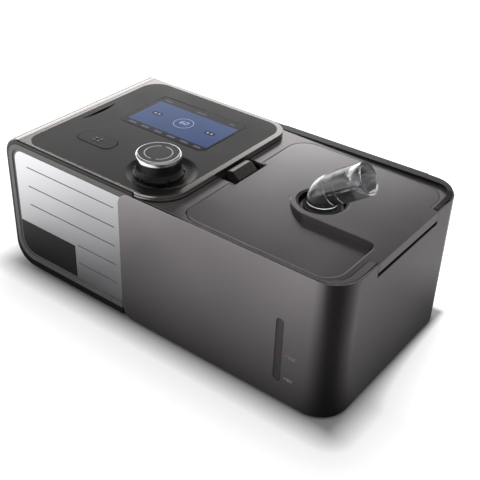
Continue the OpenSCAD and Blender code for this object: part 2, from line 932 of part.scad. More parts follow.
module knob_ring() {
    z1 = z_con + knob_h;
    color(steel) placed() translate([knob_x, knob_y, z1 - 3.4]) rotate_extrude($fn = 96)
        polygon([
            [knob_ring_r - 2 + pin_fit, 0], [knob_ring_r, 0], [knob_ring_r, 2.2],
            [knob_ring_r - 1.2, 3.4], [knob_ring_r - 2 + pin_fit, 3.4]]);
}

module knob_disc() {
    color(frame_black) placed() rod_z([knob_x, knob_y, z_con + knob_h - 1.4], 1.1, knob_ring_r - 2);
}

// Rear panel

module rear_panel() {
    color(frame_black) placed() difference() {
        union() {
            block([30 + seam, body_d - back_t, z_under], [rear_end(), body_d, z_top]);
            back_lip();
        }
        push(body_d - back_t - 1, body_d + 1) filter_outline(seam);
        rod_y([jack_x, body_d - 10, jack_z], 12, jack_r + 1.3);
    }
}

// The lip behind the lid. It rises to the right, and sinks again round the back corner.
module back_lip() {
    low_z = z_top + lip_low;
    top_z = z_top + lip_h;
    intersection() {
        union() {
            rise(z_top, z_top + 10) lip_plan();
            block([lip_x, body_d - back_t, z_top - 1], [rear_end(), body_d, z_top + 10]);
        }
        push(0, body_d) polygon([
            [lip_x, z_top - 1], [body_l, z_top - 1], [body_l, top_z], [rear_end(), top_z], [lip_x, low_z]]);
        translate([0, 0, z_top - 1]) rotate([90, 0, 90]) linear_extrude(body_l) polygon([
            [strip_end + 1, 0], [body_d, 0], [body_d, lip_h + 1], [y_back, lip_h + 1],
            [y_back - lid_r, lip_low + 1], [strip_end + 1, lip_low + 1]]);
    }
}

module lip_plan() {
    edge = body_l - cover_t - seam;
    difference() {
        rounded([lip_x, 60], [edge, body_d - 0.6], [0, 0, cover_back_r, 0]);
        rounded([100, 20], [edge - lip_w / 2, body_d - lip_w], [0, 0, cover_back_r - lip_w, 0]);
        console_plan(-seam);
    }
}

module filter_outline(grow) {
    rounded([filter_x - grow, filter_z - grow], [filter_x + filter_l + grow, filter_z + filter_h + grow],
        [4 + grow, 4 + grow, 4 + grow, 4 + grow]);
}

module filter_cover() {
    pitch = (filter_l - 8) / grille_n;
    color(soft_black) placed() difference() {
        push(body_d - 2.6, body_d) filter_outline(0);
        for (i = [0 : grille_n - 1])
            block([filter_x + 4 + (i + 0.5) * pitch - 1.4, body_d - 5, filter_z + 7],
                [filter_x + 4 + (i + 0.5) * pitch + 1.4, body_d + 1, filter_z + filter_h - 7]);
    }
}

module air_filter() {
    color("#d8d8d4") placed() block([filter_x + 3, body_d - 9, filter_z + 3],
        [filter_x + filter_l - 3, body_d - 2.6 - seam, filter_z + filter_h - 3]);
}

module inlet_box() {
    a = [filter_x, body_d - back_t - box_l, filter_z];
    b = [filter_x + filter_l, body_d - back_t - touch_gap, filter_z + filter_h];
    color(soft_black) placed() difference() {
        union() {
            block(a, b);
            for (x = [a[0] + 4, b[0] - 10])
                block([x, a[1], z_floor], [x + 6, frame_end - 4, a[2] + eps]);
        }
        block(a + [box_t, box_t, box_t], b - [box_t, -1, box_t]);
        block(a + [12, -1, 14], [b[0] - 12, a[1] + 3, b[2] - 14]);
    }
}

module muffler_foam() {
    in = box_t + touch_gap;
    a = [filter_x + in, body_d - back_t - box_l + in, filter_z + in];
    b = [filter_x + filter_l - in, body_d - 9 - touch_gap, filter_z + filter_h - in];
    color("#3a3a3c") placed() difference() {
        block(a, b);
        block(a + [foam_t + 3, -1, foam_t + 3], b - [foam_t + 3, -1, foam_t + 3]);
    }
}

module power_socket() {
    color(soft_black) placed() {
        difference() {
            union() {
                rod_y([jack_x, body_d - 9.5, jack_z], 9.5, jack_r + 1.2);
                block([jack_x - 5.5, body_d - back_t - 9, jack_z - 5.5],
                    [jack_x + 5.5, body_d - back_t - touch_gap, jack_z + 5.5]);
                block([jack_x - 4, body_d - back_t - 9, z_floor], [jack_x + 4, frame_end - 4, jack_z]);
            }
            rod_y([jack_x, body_d - 9, jack_z], 12, jack_r);
        }
        rod_y([jack_x, body_d - 9.1, jack_z], 8, 1);
    }
}

// Blower

module ears(z0, z1, r) {
    for (sx = [-1, 1]) for (sy = [-1, 1])
        rod_z([blower_x + sx * ear_in, blower_y + sy * ear_in, z0], z1 - z0, r);
}

module blower_mounts() {
    color(soft_black) placed() ears(z_floor, z_blower, mount_r);
}

module blower_lower() {
    color(frame_black) placed() difference() {
        union() {
            rod_z([blower_x, blower_y, z_blower], z_split - z_blower, blower_r);
            ears(z_blower, z_blower + 3, mount_r + 1);
        }
        difference() {
            rod_z([blower_x, blower_y, z_blower + blower_t], z_split, blower_r - blower_t);
            rod_z([blower_x, blower_y, z_blower], bearing_step + bearing_h + 4, sleeve_r);
        }
        rod_z([blower_x, blower_y, z_bearing], bearing_step + bearing_h + 4, bearing_r + pin_fit);
    }
}

module blower_upper() {
    color(frame_black) placed() difference() {
        union() {
            rod_z([blower_x, blower_y, z_split], z_lid_blower - z_split, blower_r);
            rod_x([blower_x, outlet_y, z_outlet], riser_x - 9 - blower_x, duct_r);
        }
        rod_z([blower_x, blower_y, z_split - 1], z_lid_blower - z_split - blower_t + 1, blower_r - blower_t);
        rod_z([blower_x, blower_y, z_split], blower_h, 13);
        rod_x([blower_x, outlet_y, z_outlet], 60, duct_r - 1.5);
    }
}

module rotor_bearings() {
    color(steel) placed() for (i = [0, 1]) difference() {
        rod_z([blower_x, blower_y, z_bearing + i * bearing_step], bearing_h, bearing_r);
        rod_z([blower_x, blower_y, z_bearing - 1], 40, rotor_r + running);
    }
}

module motor_stator() {
    color("#8a5a36") placed() difference() {
        rod_z([blower_x, blower_y, z_bearing], 10, 13);
        rod_z([blower_x, blower_y, z_bearing - 1], 20, sleeve_r + touch_gap);
        for (i = [0 : 8]) translate([blower_x, blower_y, z_bearing - 1]) rotate(i * 40)
            block([9.5, -0.8, 0], [14, 0.8, 20]);
    }
}

module rotor_magnet() {
    z1 = z_bearing + bearing_step + bearing_h + 1.6;
    color("#4a4c50") placed() difference() {
        rod_z([blower_x, blower_y, z_bearing], z1 + 1.4 - z_bearing, 16);
        rod_z([blower_x, blower_y, z_bearing - 1], z1 - z_bearing + 1, 13.6);
        rod_z([blower_x, blower_y, z_bearing], 40, rotor_r + pin_fit);
    }
}

module rotor_shaft() {
    color(steel) placed() rod_z([blower_x, blower_y, z_bearing + seam],
        z_lid_blower - z_bearing - 5, rotor_r);
}

module impeller() {
    z0 = z_bearing + bearing_step + bearing_h + 3.1;
    color("#c9cdd2") placed() difference() {
        union() {
            rod_z([blower_x, blower_y, z0], 1.6, 28);
            rod_z([blower_x, blower_y, z0], 8, 5);
            for (i = [0 : blade_n - 1]) translate([blower_x, blower_y, z0]) rotate(i * 360 / blade_n)
                translate([17, 0, 0]) rotate(35) block([-8, -0.6, 0], [9, 0.6, 8]);
        }
        rod_z([blower_x, blower_y, z0 - 1], 40, rotor_r + pin_fit);
    }
}

module outlet_duct() {
    x1 = tub_x - 1.3;
    x0 = riser_x - 9 + touch_gap;
    color(soft_black) placed() difference() {
        union() {
            rod_x([x0, outlet_y, z_outlet], riser_x - x0, duct_r);
            rod_z([riser_x, outlet_y, z_outlet], z_port - z_outlet, duct_r);
            rod_x([riser_x, port_y, z_port], x1 - riser_x, duct_r);
            translate([riser_x, outlet_y, z_outlet]) sphere(duct_r);
            translate([riser_x, outlet_y, z_port]) sphere(duct_r);
        }
        rod_x([x0 - 1, outlet_y, z_outlet], riser_x - x0 + 1, duct_r - 1.5);
        rod_z([riser_x, outlet_y, z_outlet], z_port - z_outlet, duct_r - 1.5);
        rod_x([riser_x, port_y, z_port], x1 - riser_x + 1, duct_r - 1.5);
        translate([riser_x, outlet_y, z_outlet]) sphere(duct_r - 1.5);
        translate([riser_x, outlet_y, z_port]) sphere(duct_r - 1.5);
    }
}

module duct_seal() {
    color(soft_black) placed() difference() {
        rod_x([tub_x - 1.3, port_y, z_port], 1.3, air_port_r + 2);
        rod_x([tub_x - 2, port_y, z_port], 3, duct_r - 1.5);
    }
}

// Humidifier

module tub_plan(in) {
    r = tub_corner - in;
    rounded([tub_x + in, tub_y + in], [tub_end - in, tub_back - in], [r, r, r, r]);
}

module chamber_cradle() {
    g = cradle_t + 1;
    color(soft_black) placed() difference() {
        union() {
            rise(z_floor, z_lid_low) tub_plan(-g);
            for (p = cradle_points) rod_z([p[0], p[1], z_floor], 5.6, 3.5);
        }
        difference() {
            rise(z_floor + insulator_t, z_lid_low + 1) tub_plan(-1);
            for (p = cradle_points) rod_z([p[0], p[1], z_floor], z_tub - z_floor - 0.4, 3.5);
        }
        rod_z([heater_x, heater_y, z_floor - 1], 5, heater_r + 2.5);
        for (p = cradle_points) rod_z([p[0], p[1], z_floor - 1], screw_l, screw_r + pin_fit);
        rod_x([tub_x - 10, port_y, z_port], 12, air_port_r + 2.3);
        block([slit_x - 4, tub_y - 10, z_under + 12], [slit_x + 4, tub_y + 1, z_under + slit_h + 18]);
    }
}

module heater_insulator() {
    color("#c8c0a8") placed() rod_z([heater_x, heater_y, z_floor], insulator_t, heater_r + 2);
}

module heater_plate() {
    color(steel) placed() rod_z([heater_x, heater_y, z_heater], heater_t, heater_r);
}

module tub_base_plate() {
    color(steel) placed() rod_z([heater_x, heater_y, z_base], base_t, heater_r + 4);
}

module water_tub() {
    color(smoke) placed() difference() {
        rise(z_tub, z_rim) tub_plan(0);
        rise(z_tub + tub_t, z_rim + 1) tub_plan(tub_t);
        rod_z([heater_x, heater_y, z_tub - 1], 5, heater_r);
    }
}

module chamber_seal() {
    color("#3c4046") placed() rise(z_rim, z_cap) difference() {
        tub_plan(0.2);
        tub_plan(tub_t);
    }
}

module chamber_top() {
    color(smoke) placed() difference() {
        rise(z_cap, z_lid_low) tub_plan(0);
        rise(z_cap - 1, z_lid_low - 2) tub_plan(tub_t);
        rod_z([seat_x, seat_y, z_lid_low - 5], 10, air_port_r);
        rod_x([tub_x - 1, port_y, z_port], 5, air_port_r - 1);
    }
}

// Lid

// What the edge of the lid's opening sweeps when it is turned about the hinge line, grown by a wall
module swing_body(grow) {
    steps = 14;
    front = [for (i = [0 : steps]) [reach(lid_r * (1 - i / steps)), lid_y + lid_r * i / steps]];
    back = [for (i = [0 : steps]) [reach(lid_r * i / steps), y_back - lid_r * (1 - i / steps)]];
    edge = [for (p = concat(front, back)) [p[0] + grow, p[1]]];
    translate([hinge_x, 0, hinge_z]) rotate([-90, 0, 0]) rotate_extrude($fn = 96)
        polygon(concat([[0, edge[0][1] - 1], [edge[0][0], edge[0][1] - 1]], edge,
            [[edge[0][0], y_back + 1], [0, y_back + 1]]));
}

// Distance from the hinge line to the opening's upper edge, a distance dy into its rounded corner
function reach(dy) = let (
    corner_x = lid_end - lid_r,
    edge_x = corner_x + sqrt(pow(lid_r + lid_gap, 2) - dy * dy))
    sqrt(pow(hinge_x - edge_x, 2) + pow(z_top - hinge_z, 2)) + 0.2;

module lid_shell() {
    color(lid_grey) placed() in_parts(lid_parts) difference() {
        union() {
            rise(z_liner, z_top) lid_outline(0);
            block([lid_end - 8, strip_y, z_plate], [body_l, strip_end, z_top]);
            block([body_l - 2.5, strip_y, hinge_z], [body_l, strip_end, z_top - eps]);
            rod_y([hinge_x, strip_y, hinge_z], strip_l, barrel_r);
        }
        lid_hollow();
        scoop(0, 0);
        difference() {
            swing_body(0);
            block([0, strip_y, 0], [body_l + 20, strip_end, 2 * z_top]);
        }
        block([hinge_x - 8, strip_y - 1, z_liner - 1], [hinge_x - barrel_r - 1, strip_end + 1, z_plate]);
        rod_y([hinge_x, strip_y - 1, hinge_z], strip_l + 2, pin_r + running);
        rod_z([seat_x, seat_y, z_liner - 1], 30, seat_r);
        for (p = lid_points()) rod_z([p[0], p[1], z_liner], lid_screw_l + 0.2, screw_r + pin_fit);
    }
}

// The lid's inside, left solid under the scoop and round the elbow's seat
module lid_hollow() {
    difference() {
        rise(z_liner - 1, z_top - lid_t) lid_outline(-lid_t);
        swing_body(lid_t);
        scoop(lid_t, lid_t);
        rod_z([seat_x, seat_y, z_liner + liner_t], 30, mound_r);
        for (p = lid_points()) rod_z([p[0], p[1], z_liner + liner_t], 30, 3.6);
    }
}

function lid_points() = [
    [lid_x + 12, lid_y + 22], [lid_x + 12, y_back - 14],
    [hinge_x - 20, lid_y + 24], [hinge_x - 20, y_back - 14]];

// The hand scoop: a ramp that levels out, in front of the mound
module scoop(grow, drop) {
    lift = 40;
    intersection() {
        rise(z_top - scoop_h - drop, z_top + lift) scoop_plan(grow);
        translate([lid_x + 3, lid_y, z_top - drop]) rotate(-118) rotate([-scoop_slope, 0, 0])
            translate([-body_d, 0, 0]) cube([2 * body_d, 2 * body_d, lift]);
    }
}

module scoop_plan(grow) {
    difference() {
        rounded([lid_x + 2 - grow, lid_y + 2 - grow], [lid_end - 4 + grow, y_back],
            [11 + grow, lid_r - 2 + grow, 0, 0]);
        translate([seat_x, seat_y]) circle(mound_r - grow);
        translate([seat_x, seat_y - mound_r + grow]) square([80, 120]);
        translate([lid_x, seat_y + 3]) square([80, 120]);
        scoop_corner(7 - grow);
    }
}

// Rounds the scoop's far right corner
module scoop_corner(r) {
    x1 = lid_end - 4 + (7 - r);
    y1 = seat_y - mound_r + (7 - r);
    translate([x1 - r, y1 - r]) difference() {
        square([r + 1, r + 1]);
        circle(r);
    }
}

module lid_liner() {
    color(soft_black) placed() difference() {
        rise(z_liner, z_liner + liner_t) lid_outline(-lid_t - touch_gap);
        swing_body(lid_t + touch_gap);
        rod_z([seat_x, seat_y, z_liner - 1], 5, seat_r + touch_gap);
        for (p = lid_points()) {
            rod_z([p[0], p[1], z_liner - 1], 5, screw_r + 0.2);
            rod_z([p[0], p[1], z_liner - 1], 1.9, screw_head_r + 0.2);
        }
    }
}

module lid_screws() {
    color(steel) placed() for (p = lid_points()) {
        rod_z([p[0], p[1], z_liner], 0.9, screw_head_r);
        rod_z([p[0], p[1], z_liner], lid_screw_l, screw_r);
    }
}

module elbow_seat_ring() {
    color(frame_black) placed() difference() {
        rod_z([seat_x, seat_y, z_liner], z_top - 0.5 - z_liner, seat_r - touch_gap);
        rod_z([seat_x, seat_y, z_liner + 5], 20, seat_r - 1.6);
        rod_z([seat_x, seat_y, z_liner - 1], 30, neck_r + running);
        rod_z([seat_x, seat_y, z_liner - 1], 3.4, neck_r + 1.6);
    }
}

module lid_seal() {
    color("#3c4046") placed() difference() {
        rod_z([seat_x, seat_y, z_lid_low + seam], z_liner - z_lid_low - seam, seat_r - 1.5);
        rod_z([seat_x, seat_y, z_lid_low - 1], 10, neck_r + 2);
    }
}

// Elbow

// Puts what stands at the bend's start onto the elbow's axis
module at_bend() {
    translate([seat_x, seat_y, z_top + bend_h - bend_cut]) rotate(elbow_turn) children();
}

// A round tube of radius r along the elbow from the lid to its open end
module elbow_run(z0, r, l) {
    rod_z([seat_x, seat_y, z0], z_top + bend_h - bend_cut - z0, r);
    at_bend() translate([bend_r, 0, 0]) mirror([1, 0, 0]) rotate([90, 0, 0])
        rotate_extrude(angle = 90 - elbow_rise) translate([bend_r, 0]) circle(r);
    along_outlet(bend_cut) cylinder(l - bend_cut, r, r);
}

module along_outlet(s) {
    at_bend() translate([0, 0, bend_cut]) rotate([0, 90 - elbow_rise, 0]) translate([0, 0, s])
        children();
}

module elbow() {
    z0 = z_liner + 0.4;
    color(smoke) placed() difference() {
        union() {
            elbow_run(z0, neck_r, elbow_l);
            rod_z([seat_x, seat_y, z0], 1.6, neck_r + 1);
            rod_z([seat_x, seat_y, z_liner + 5 + seam], 1.6, seat_r - 3);
            along_outlet(elbow_l - outlet_l) cylinder(outlet_l, outlet_r, outlet_r);
        }
        elbow_run(z0 - 1, elbow_bore, elbow_l + 1);
    }
}

module elbow_seal() {
    z0 = z_liner + 5 + seam + 1.6;
    color(soft_black) placed() difference() {
        rod_z([seat_x, seat_y, z0], 1.2, neck_r + 2);
        rod_z([seat_x, seat_y, z0 - 1], 5, neck_r + pin_fit);
    }
}

base_tray();
left_shell();
front_rim();
front_bezel();
front_panel();
front_badge();
wrap_cover();
level_window();
top_frame();
rear_panel();
console_case();
console_fascia();
display_lens();
display_module();
slot_insert();
main_board();
encoder_body();
button_switch();
alarm_buzzer();
blower_lower();
blower_upper();
motor_stator();
rotor_bearings();
blower_mounts();
inlet_box();
muffler_foam();
air_filter();
outlet_duct();
duct_seal();
power_socket();
heater_plate();
heater_insulator();
chamber_cradle();
water_tub();
tub_base_plate();
chamber_seal();
chamber_top();
hinge_pin();
rubber_feet();
case_screws();
latch_spring();
lid_shell();
lid_liner();
lid_seal();
elbow_seat_ring();
lid_screws();
lid_latch();
elbow();
elbow_seal();
encoder_plunger();
encoder_shaft();
knob_grip();
knob_ring();
knob_disc();
home_button();
impeller();
rotor_magnet();
rotor_shaft();
filter_cover();
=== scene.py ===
# %% [markdown]
# # A bedside breathing machine, dressed for a studio picture
#
# The CAD part is the fixed frame of this scene. It has every solid at its true size, with the sharp
# edges that come from boolean cuts. This file gives the machine its look: rounded edges, a lit display,
# a turned knob, painted and moulded finishes, a table top and studio light.
#
# Everything is in metres. Sizes are easier to read in millimetres from the left end, from the front and
# from the table, so one function turns those into a place in the scene, and one turns them back. New pieces
# take their places from the boxes of the CAD nodes that they sit on.

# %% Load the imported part
import json
import math

import bpy
from mathutils import Matrix, Vector


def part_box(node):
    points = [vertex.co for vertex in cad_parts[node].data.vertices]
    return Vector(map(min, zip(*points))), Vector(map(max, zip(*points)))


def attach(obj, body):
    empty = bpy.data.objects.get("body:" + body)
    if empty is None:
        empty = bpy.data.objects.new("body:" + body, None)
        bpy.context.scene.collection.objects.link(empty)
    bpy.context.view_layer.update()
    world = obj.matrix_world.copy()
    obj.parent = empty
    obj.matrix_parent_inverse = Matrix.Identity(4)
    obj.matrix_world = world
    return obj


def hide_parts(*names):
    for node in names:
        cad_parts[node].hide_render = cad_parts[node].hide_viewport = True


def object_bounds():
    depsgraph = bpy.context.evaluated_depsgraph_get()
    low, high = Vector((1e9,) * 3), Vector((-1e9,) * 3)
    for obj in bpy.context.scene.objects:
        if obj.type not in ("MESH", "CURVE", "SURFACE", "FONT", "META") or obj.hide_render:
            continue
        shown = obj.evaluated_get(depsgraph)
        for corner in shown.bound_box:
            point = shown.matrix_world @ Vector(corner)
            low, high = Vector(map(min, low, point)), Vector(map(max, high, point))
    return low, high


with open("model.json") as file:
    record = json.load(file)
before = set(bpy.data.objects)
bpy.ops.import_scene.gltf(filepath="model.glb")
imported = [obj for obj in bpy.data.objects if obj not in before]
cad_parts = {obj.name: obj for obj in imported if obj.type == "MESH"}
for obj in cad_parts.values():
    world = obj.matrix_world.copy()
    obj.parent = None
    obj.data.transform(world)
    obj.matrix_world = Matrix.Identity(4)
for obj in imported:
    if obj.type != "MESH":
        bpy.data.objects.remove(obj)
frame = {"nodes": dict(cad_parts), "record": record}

MM = 0.001
cad_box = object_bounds()
LEFT_TO_ORIGIN, FRONT_TO_ORIGIN = (round(-side / MM, 2) for side in cad_box[0][:2])
print("from the left end and the front to the origin:", LEFT_TO_ORIGIN, FRONT_TO_ORIGIN, "mm")


def place(x, y, z):
    """A point in millimetres from the left end, the front and the table, as a place in the scene."""
    return Vector((x - LEFT_TO_ORIGIN, y - FRONT_TO_ORIGIN, z)) * MM


def millimetres(point):
    """The other way: a place in the scene, in millimetres from the left end, the front and the table."""
    return Vector(point) / MM + Vector((LEFT_TO_ORIGIN, FRONT_TO_ORIGIN, 0))


def box_of(node):
    """The low and the high corner of a CAD node in millimetres, to a hundredth."""
    return [[round(part, 2) for part in millimetres(corner)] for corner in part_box(node)]


def middle_of(node):
    """The middle of a CAD node's box, from the left end and from the front."""
    low, high = box_of(node)
    return (low[0] + high[0]) / 2, (low[1] + high[1]) / 2


# %% [markdown]
# ## The camera
#
# The photograph was taken from the front right, above the machine, with a fairly long lens. The camera's
# place and turn were found by fitting the housing's corners to the picture. A camera in Blender looks
# along its own minus Z, so the three columns of its turn are its right, its up and its backward direction.

# %% Camera at the photograph's angle
lens_mm = 66.15
camera_place = Vector((0.3161, -0.4174, 0.3892))
to_right = Vector((0.7955, 0.6050, 0.0344)).normalized()
backward = Vector((0.4885, -0.6739, 0.5543)).normalized()

camera_data = bpy.data.cameras.new("camera")
camera_data.lens = lens_mm
camera_data.sensor_width = 36
camera_data.clip_start = 0.01
camera_data.clip_end = 20
camera = bpy.data.objects.new("camera", camera_data)
bpy.context.scene.collection.objects.link(camera)
upward = backward.cross(to_right).normalized()
to_right = upward.cross(backward)
turn = Matrix((to_right, upward, backward)).transposed().to_4x4()
camera.matrix_world = Matrix.Translation(camera_place) @ turn
bpy.context.scene.camera = camera
print("camera at", [round(c, 3) for c in camera.location])

# %% [markdown]
# ## Nodes and colours
#
# Each finish below is a small tree of shader nodes. One function adds a node, sets its options and fills
# or links its sockets. Colours are written as the hex values that a picture shows, so another function
# turns them into the linear values that the renderer works with.


# %% Helpers for finishes
def linear(hex_colour):
    """An sRGB hex colour as linear red, green and blue, with an alpha of 1."""
    parts = [int(hex_colour[i:i + 2], 16) / 255 for i in (1, 3, 5)]
    return [c / 12.92 if c <= 0.04045 else ((c + 0.055) / 1.055) ** 2.4 for c in parts] + [1.0]


def add(tree, kind, sockets=None, **options):
    """Adds a node with its options. Sockets take values, outputs, or nodes, which give their first output."""
    made = tree.nodes.new(kind)
    for name, value in options.items():
        setattr(made, name, value)
    for name, value in (sockets or {}).items():
        if isinstance(value, bpy.types.Node):
            value = value.outputs[0]
        if isinstance(value, bpy.types.NodeSocket):
            tree.links.new(value, made.inputs[name])
        else:
            made.inputs[name].default_value = value
    return made


def new_finish(name):
    """An empty material. Returns it with its node tree and the object's own coordinates in metres."""
    material = bpy.data.materials.new(name)
    material.use_nodes = True
    tree = material.node_tree
    tree.nodes.clear()
    where = add(tree, "ShaderNodeTexCoord").outputs["Object"]
    return material, tree, where


# %% [markdown]
# A Map Range node turns one range of a value into another. Its five sockets are written so often below that
# two short functions list them: one for any range, and one for noise. Noise stays mostly between 0.3 and 0.7.


# %% Sockets of a range
def span(value, low, high, at_low, at_high):
    """From at_low to at_high, while the value goes from low to high."""
    return {"Value": value, "From Min": low, "From Max": high, "To Min": at_low, "To Max": at_high}


def around(noise, middle, spread):
    """Noise as a number that stays round a middle."""
    return span(noise, 0.3, 0.7, middle - spread, middle + spread)


# %% [markdown]
# ## Satin painted plastic
#
# The light shell, the silver panel, the dark cover and the lid are moulded ABS under a satin metallic
# lacquer. Aluminium flakes in the lacquer lie nearly flat, so it works like a dull mirror: what it shows
# depends on the studio more than on the lamps. Flakes of 0.05 mm are too fine for the picture, so they are
# drawn at about 0.4 mm, and they change the colour by only a few per cent. Sprayed paint also keeps a faint
# ripple with a wavelength near one millimetre.


# %% Satin lacquer on moulded ABS
def satin_lacquer(name, dark, light, roughness, flake_share):
    """Sprayed satin lacquer: two close tones of one colour, a flake pattern and orange peel."""
    material, tree, where = new_finish(name)
    flakes = add(tree, "ShaderNodeTexNoise", {"Vector": where, "Scale": 1 / (0.4 * MM), "Detail": 2.0})
    cloud = add(tree, "ShaderNodeTexNoise", {"Vector": where, "Scale": 1 / (60 * MM), "Detail": 1.0})
    both = add(tree, "ShaderNodeMath", {0: flakes, 1: cloud}, operation="ADD")
    share = add(tree, "ShaderNodeMapRange", span(both, 0.7, 1.3, 0.0, 1.0))
    colour = add(tree, "ShaderNodeMix", {"Factor": share}, data_type="RGBA")
    colour.inputs[6].default_value = linear(dark)
    colour.inputs[7].default_value = linear(light)
    peel = add(tree, "ShaderNodeTexNoise", {"Vector": where, "Scale": 1 / (1.1 * MM), "Detail": 0.0})
    bump = add(tree, "ShaderNodeBump", {"Height": peel, "Strength": 0.03, "Distance": 0.05 * MM})
    sheen = add(tree, "ShaderNodeMapRange", around(cloud, roughness, 0.02))
    shader = add(tree, "ShaderNodeBsdfPrincipled", name=name, sockets={
        "Base Color": colour.outputs[2], "Metallic": flake_share, "Roughness": sheen, "Normal": bump})
    add(tree, "ShaderNodeOutputMaterial", {"Surface": shader})
    return material


light_lacquer = satin_lacquer("satin_lacquer_light_grey", "#94908e", "#9e9a98", 0.22, 0.93)
cover_lacquer = satin_lacquer("satin_lacquer_gunmetal", "#8c8789", "#969193", 0.22, 0.95)
lid_lacquer = satin_lacquer("satin_lacquer_warm_grey", "#8e8a8b", "#989495", 0.2, 0.95)
panel_lacquer = satin_lacquer("satin_lacquer_silver", "#c0c0c3", "#cacacd", 0.22, 0.95)
frame_lacquer = satin_lacquer("satin_lacquer_frame", "#8e8a8b", "#989495", 0.24, 0.8)
print("materials so far:", len(bpy.data.materials))

# %% [markdown]
# ## Moulded plastic with a spark-eroded grain
#
# Frames, trays and the latch are plain ABS out of a grained mould. Light falls on tiny pits, so the sheen
# is broken up. The pits are about 0.3 mm apart. The same nodes serve the rubber, with its dull moulded skin,
# and the foam, the felt and the mica board, whose pits are wider and deeper, so that they look dry and soft.
# Without depth they give a smooth skin, for glass and for printed ink.


# %% Grained ABS and other pitted surfaces
def pitted(name, colour_hex, roughness, grain=0.3, depth=0.02, specular=0.5):
    """A surface with tiny pits, as from a spark-eroded mould. Grain and depth are in millimetres."""
    material, tree, where = new_finish(name)
    pits = add(tree, "ShaderNodeTexVoronoi", {"Vector": where, "Scale": 1 / (grain * MM)})
    worn = add(tree, "ShaderNodeTexNoise", {"Vector": where, "Scale": 1 / (25 * MM), "Detail": 3.0})
    tone = add(tree, "ShaderNodeMapRange", around(worn, 1.0, 0.07))
    colour = add(tree, "ShaderNodeVectorMath", {0: linear(colour_hex)[:3], "Scale": tone}, operation="SCALE")
    bump = add(tree, "ShaderNodeBump", {"Height": pits, "Strength": 0.3, "Distance": depth * MM})
    sheen = add(tree, "ShaderNodeMapRange", around(worn, roughness, 0.04))
    shader = add(tree, "ShaderNodeBsdfPrincipled", name=name, sockets={
        "Base Color": colour, "IOR": 1.5, "Roughness": sheen, "Specular IOR Level": specular, "Normal": bump})
    add(tree, "ShaderNodeOutputMaterial", {"Surface": shader})
    return material


frame_abs = pitted("grained_abs_black", "#1a1817", 0.38, specular=0.35)
latch_abs = pitted("grained_abs_latch", "#423e3c", 0.3)
fascia_abs = pitted("grained_abs_fascia", "#231e1c", 0.38, specular=0.2)
bezel_abs = pitted("grained_abs_bezel", "#8a8685", 0.36)
fan_abs = pitted("moulded_fan_plastic", "#c9cbcf", 0.45)
insulator_board = pitted("pressed_mica_board", "#c8c0a8", 0.75, grain=1.2, depth=0.05)
foam = pitted("open_cell_foam", "#3a3a3c", 0.95, grain=1.5, depth=0.5, specular=0.1)
felt = pitted("filter_felt", "#d8d8d4", 0.95, grain=0.8, depth=0.2, specular=0.1)
rubber = pitted("moulded_rubber_black", "#1e1e1e", 0.7, specular=0.3)
silicone = pitted("moulded_silicone_grey", "#3c4046", 0.55, specular=0.4)
print("materials so far:", len(bpy.data.materials))

# %% [markdown]
# ## Metals
#
# Screws, pins, springs and the heater are steel or aluminium; the knob carries a chromed ring. Turned and
# pressed metal keeps fine marks from its tool, here at about half a millimetre so that they show.


# %% Steel, aluminium, chrome and copper
def worked_metal(name, colour_hex, roughness, mark=0.5):
    """Bare metal with fine tool marks."""
    material, tree, where = new_finish(name)
    worked = add(tree, "ShaderNodeTexNoise", {"Vector": where, "Scale": 1 / (mark * MM), "Detail": 2.0})
    bump = add(tree, "ShaderNodeBump", {"Height": worked, "Strength": 0.1, "Distance": 0.02 * MM})
    sheen = add(tree, "ShaderNodeMapRange", around(worked, roughness, roughness * 0.2))
    shader = add(tree, "ShaderNodeBsdfPrincipled", name=name, sockets={
        "Base Color": linear(colour_hex), "Metallic": 1.0, "Roughness": sheen, "Normal": bump})
    add(tree, "ShaderNodeOutputMaterial", {"Surface": shader})
    return material


steel = worked_metal("zinc_plated_steel", "#b9bcc0", 0.3)
aluminium = worked_metal("satin_aluminium", "#bfc2c6", 0.38)
chrome = worked_metal("polished_chrome", "#cfd0d2", 0.08, mark=3)
copper = worked_metal("enamelled_copper_winding", "#8a5a36", 0.35)
magnet_iron = worked_metal("nickel_plated_magnet", "#75777b", 0.4)
print("materials so far:", len(bpy.data.materials))

# %% [markdown]
# ## Clear smoke plastic
#
# The elbow, the water tub and the level window are injection moulded polycarbonate with a light smoke
# tint. Its index of refraction is 1.58. The tint comes from light that is taken up inside the wall. The
# display's cover glass is bonded to the screen without an air gap, so it looks like black glass with the
# picture right at its surface.


# %% Smoke polycarbonate
def smoke_polycarbonate(name, tint, roughness, clear):
    """Tinted clear plastic, partly milky so that it keeps a body of its own in the picture."""
    material, tree, where = new_finish(name)
    haze = add(tree, "ShaderNodeTexNoise", {"Vector": where, "Scale": 1 / (8 * MM), "Detail": 2.0})
    sheen = add(tree, "ShaderNodeMapRange", around(haze, roughness * 1.5, roughness * 0.5))
    shader = add(tree, "ShaderNodeBsdfPrincipled", name=name, sockets={
        "Base Color": linear(tint), "IOR": 1.58, "Roughness": sheen, "Transmission Weight": clear})
    add(tree, "ShaderNodeOutputMaterial", {"Surface": shader})
    return material


smoke = smoke_polycarbonate("smoke_polycarbonate", "#a9abae", 0.09, 0.85)
lens_glass = pitted("black_bonded_glass", "#08090b", 0.08, depth=0.0, specular=0.35)
print("clear and glassy finishes:", smoke.name, lens_glass.name)

# %% [markdown]
# ## The circuit board
#
# Glass fibre board under green solder mask, with copper tracks showing through as paler lines.

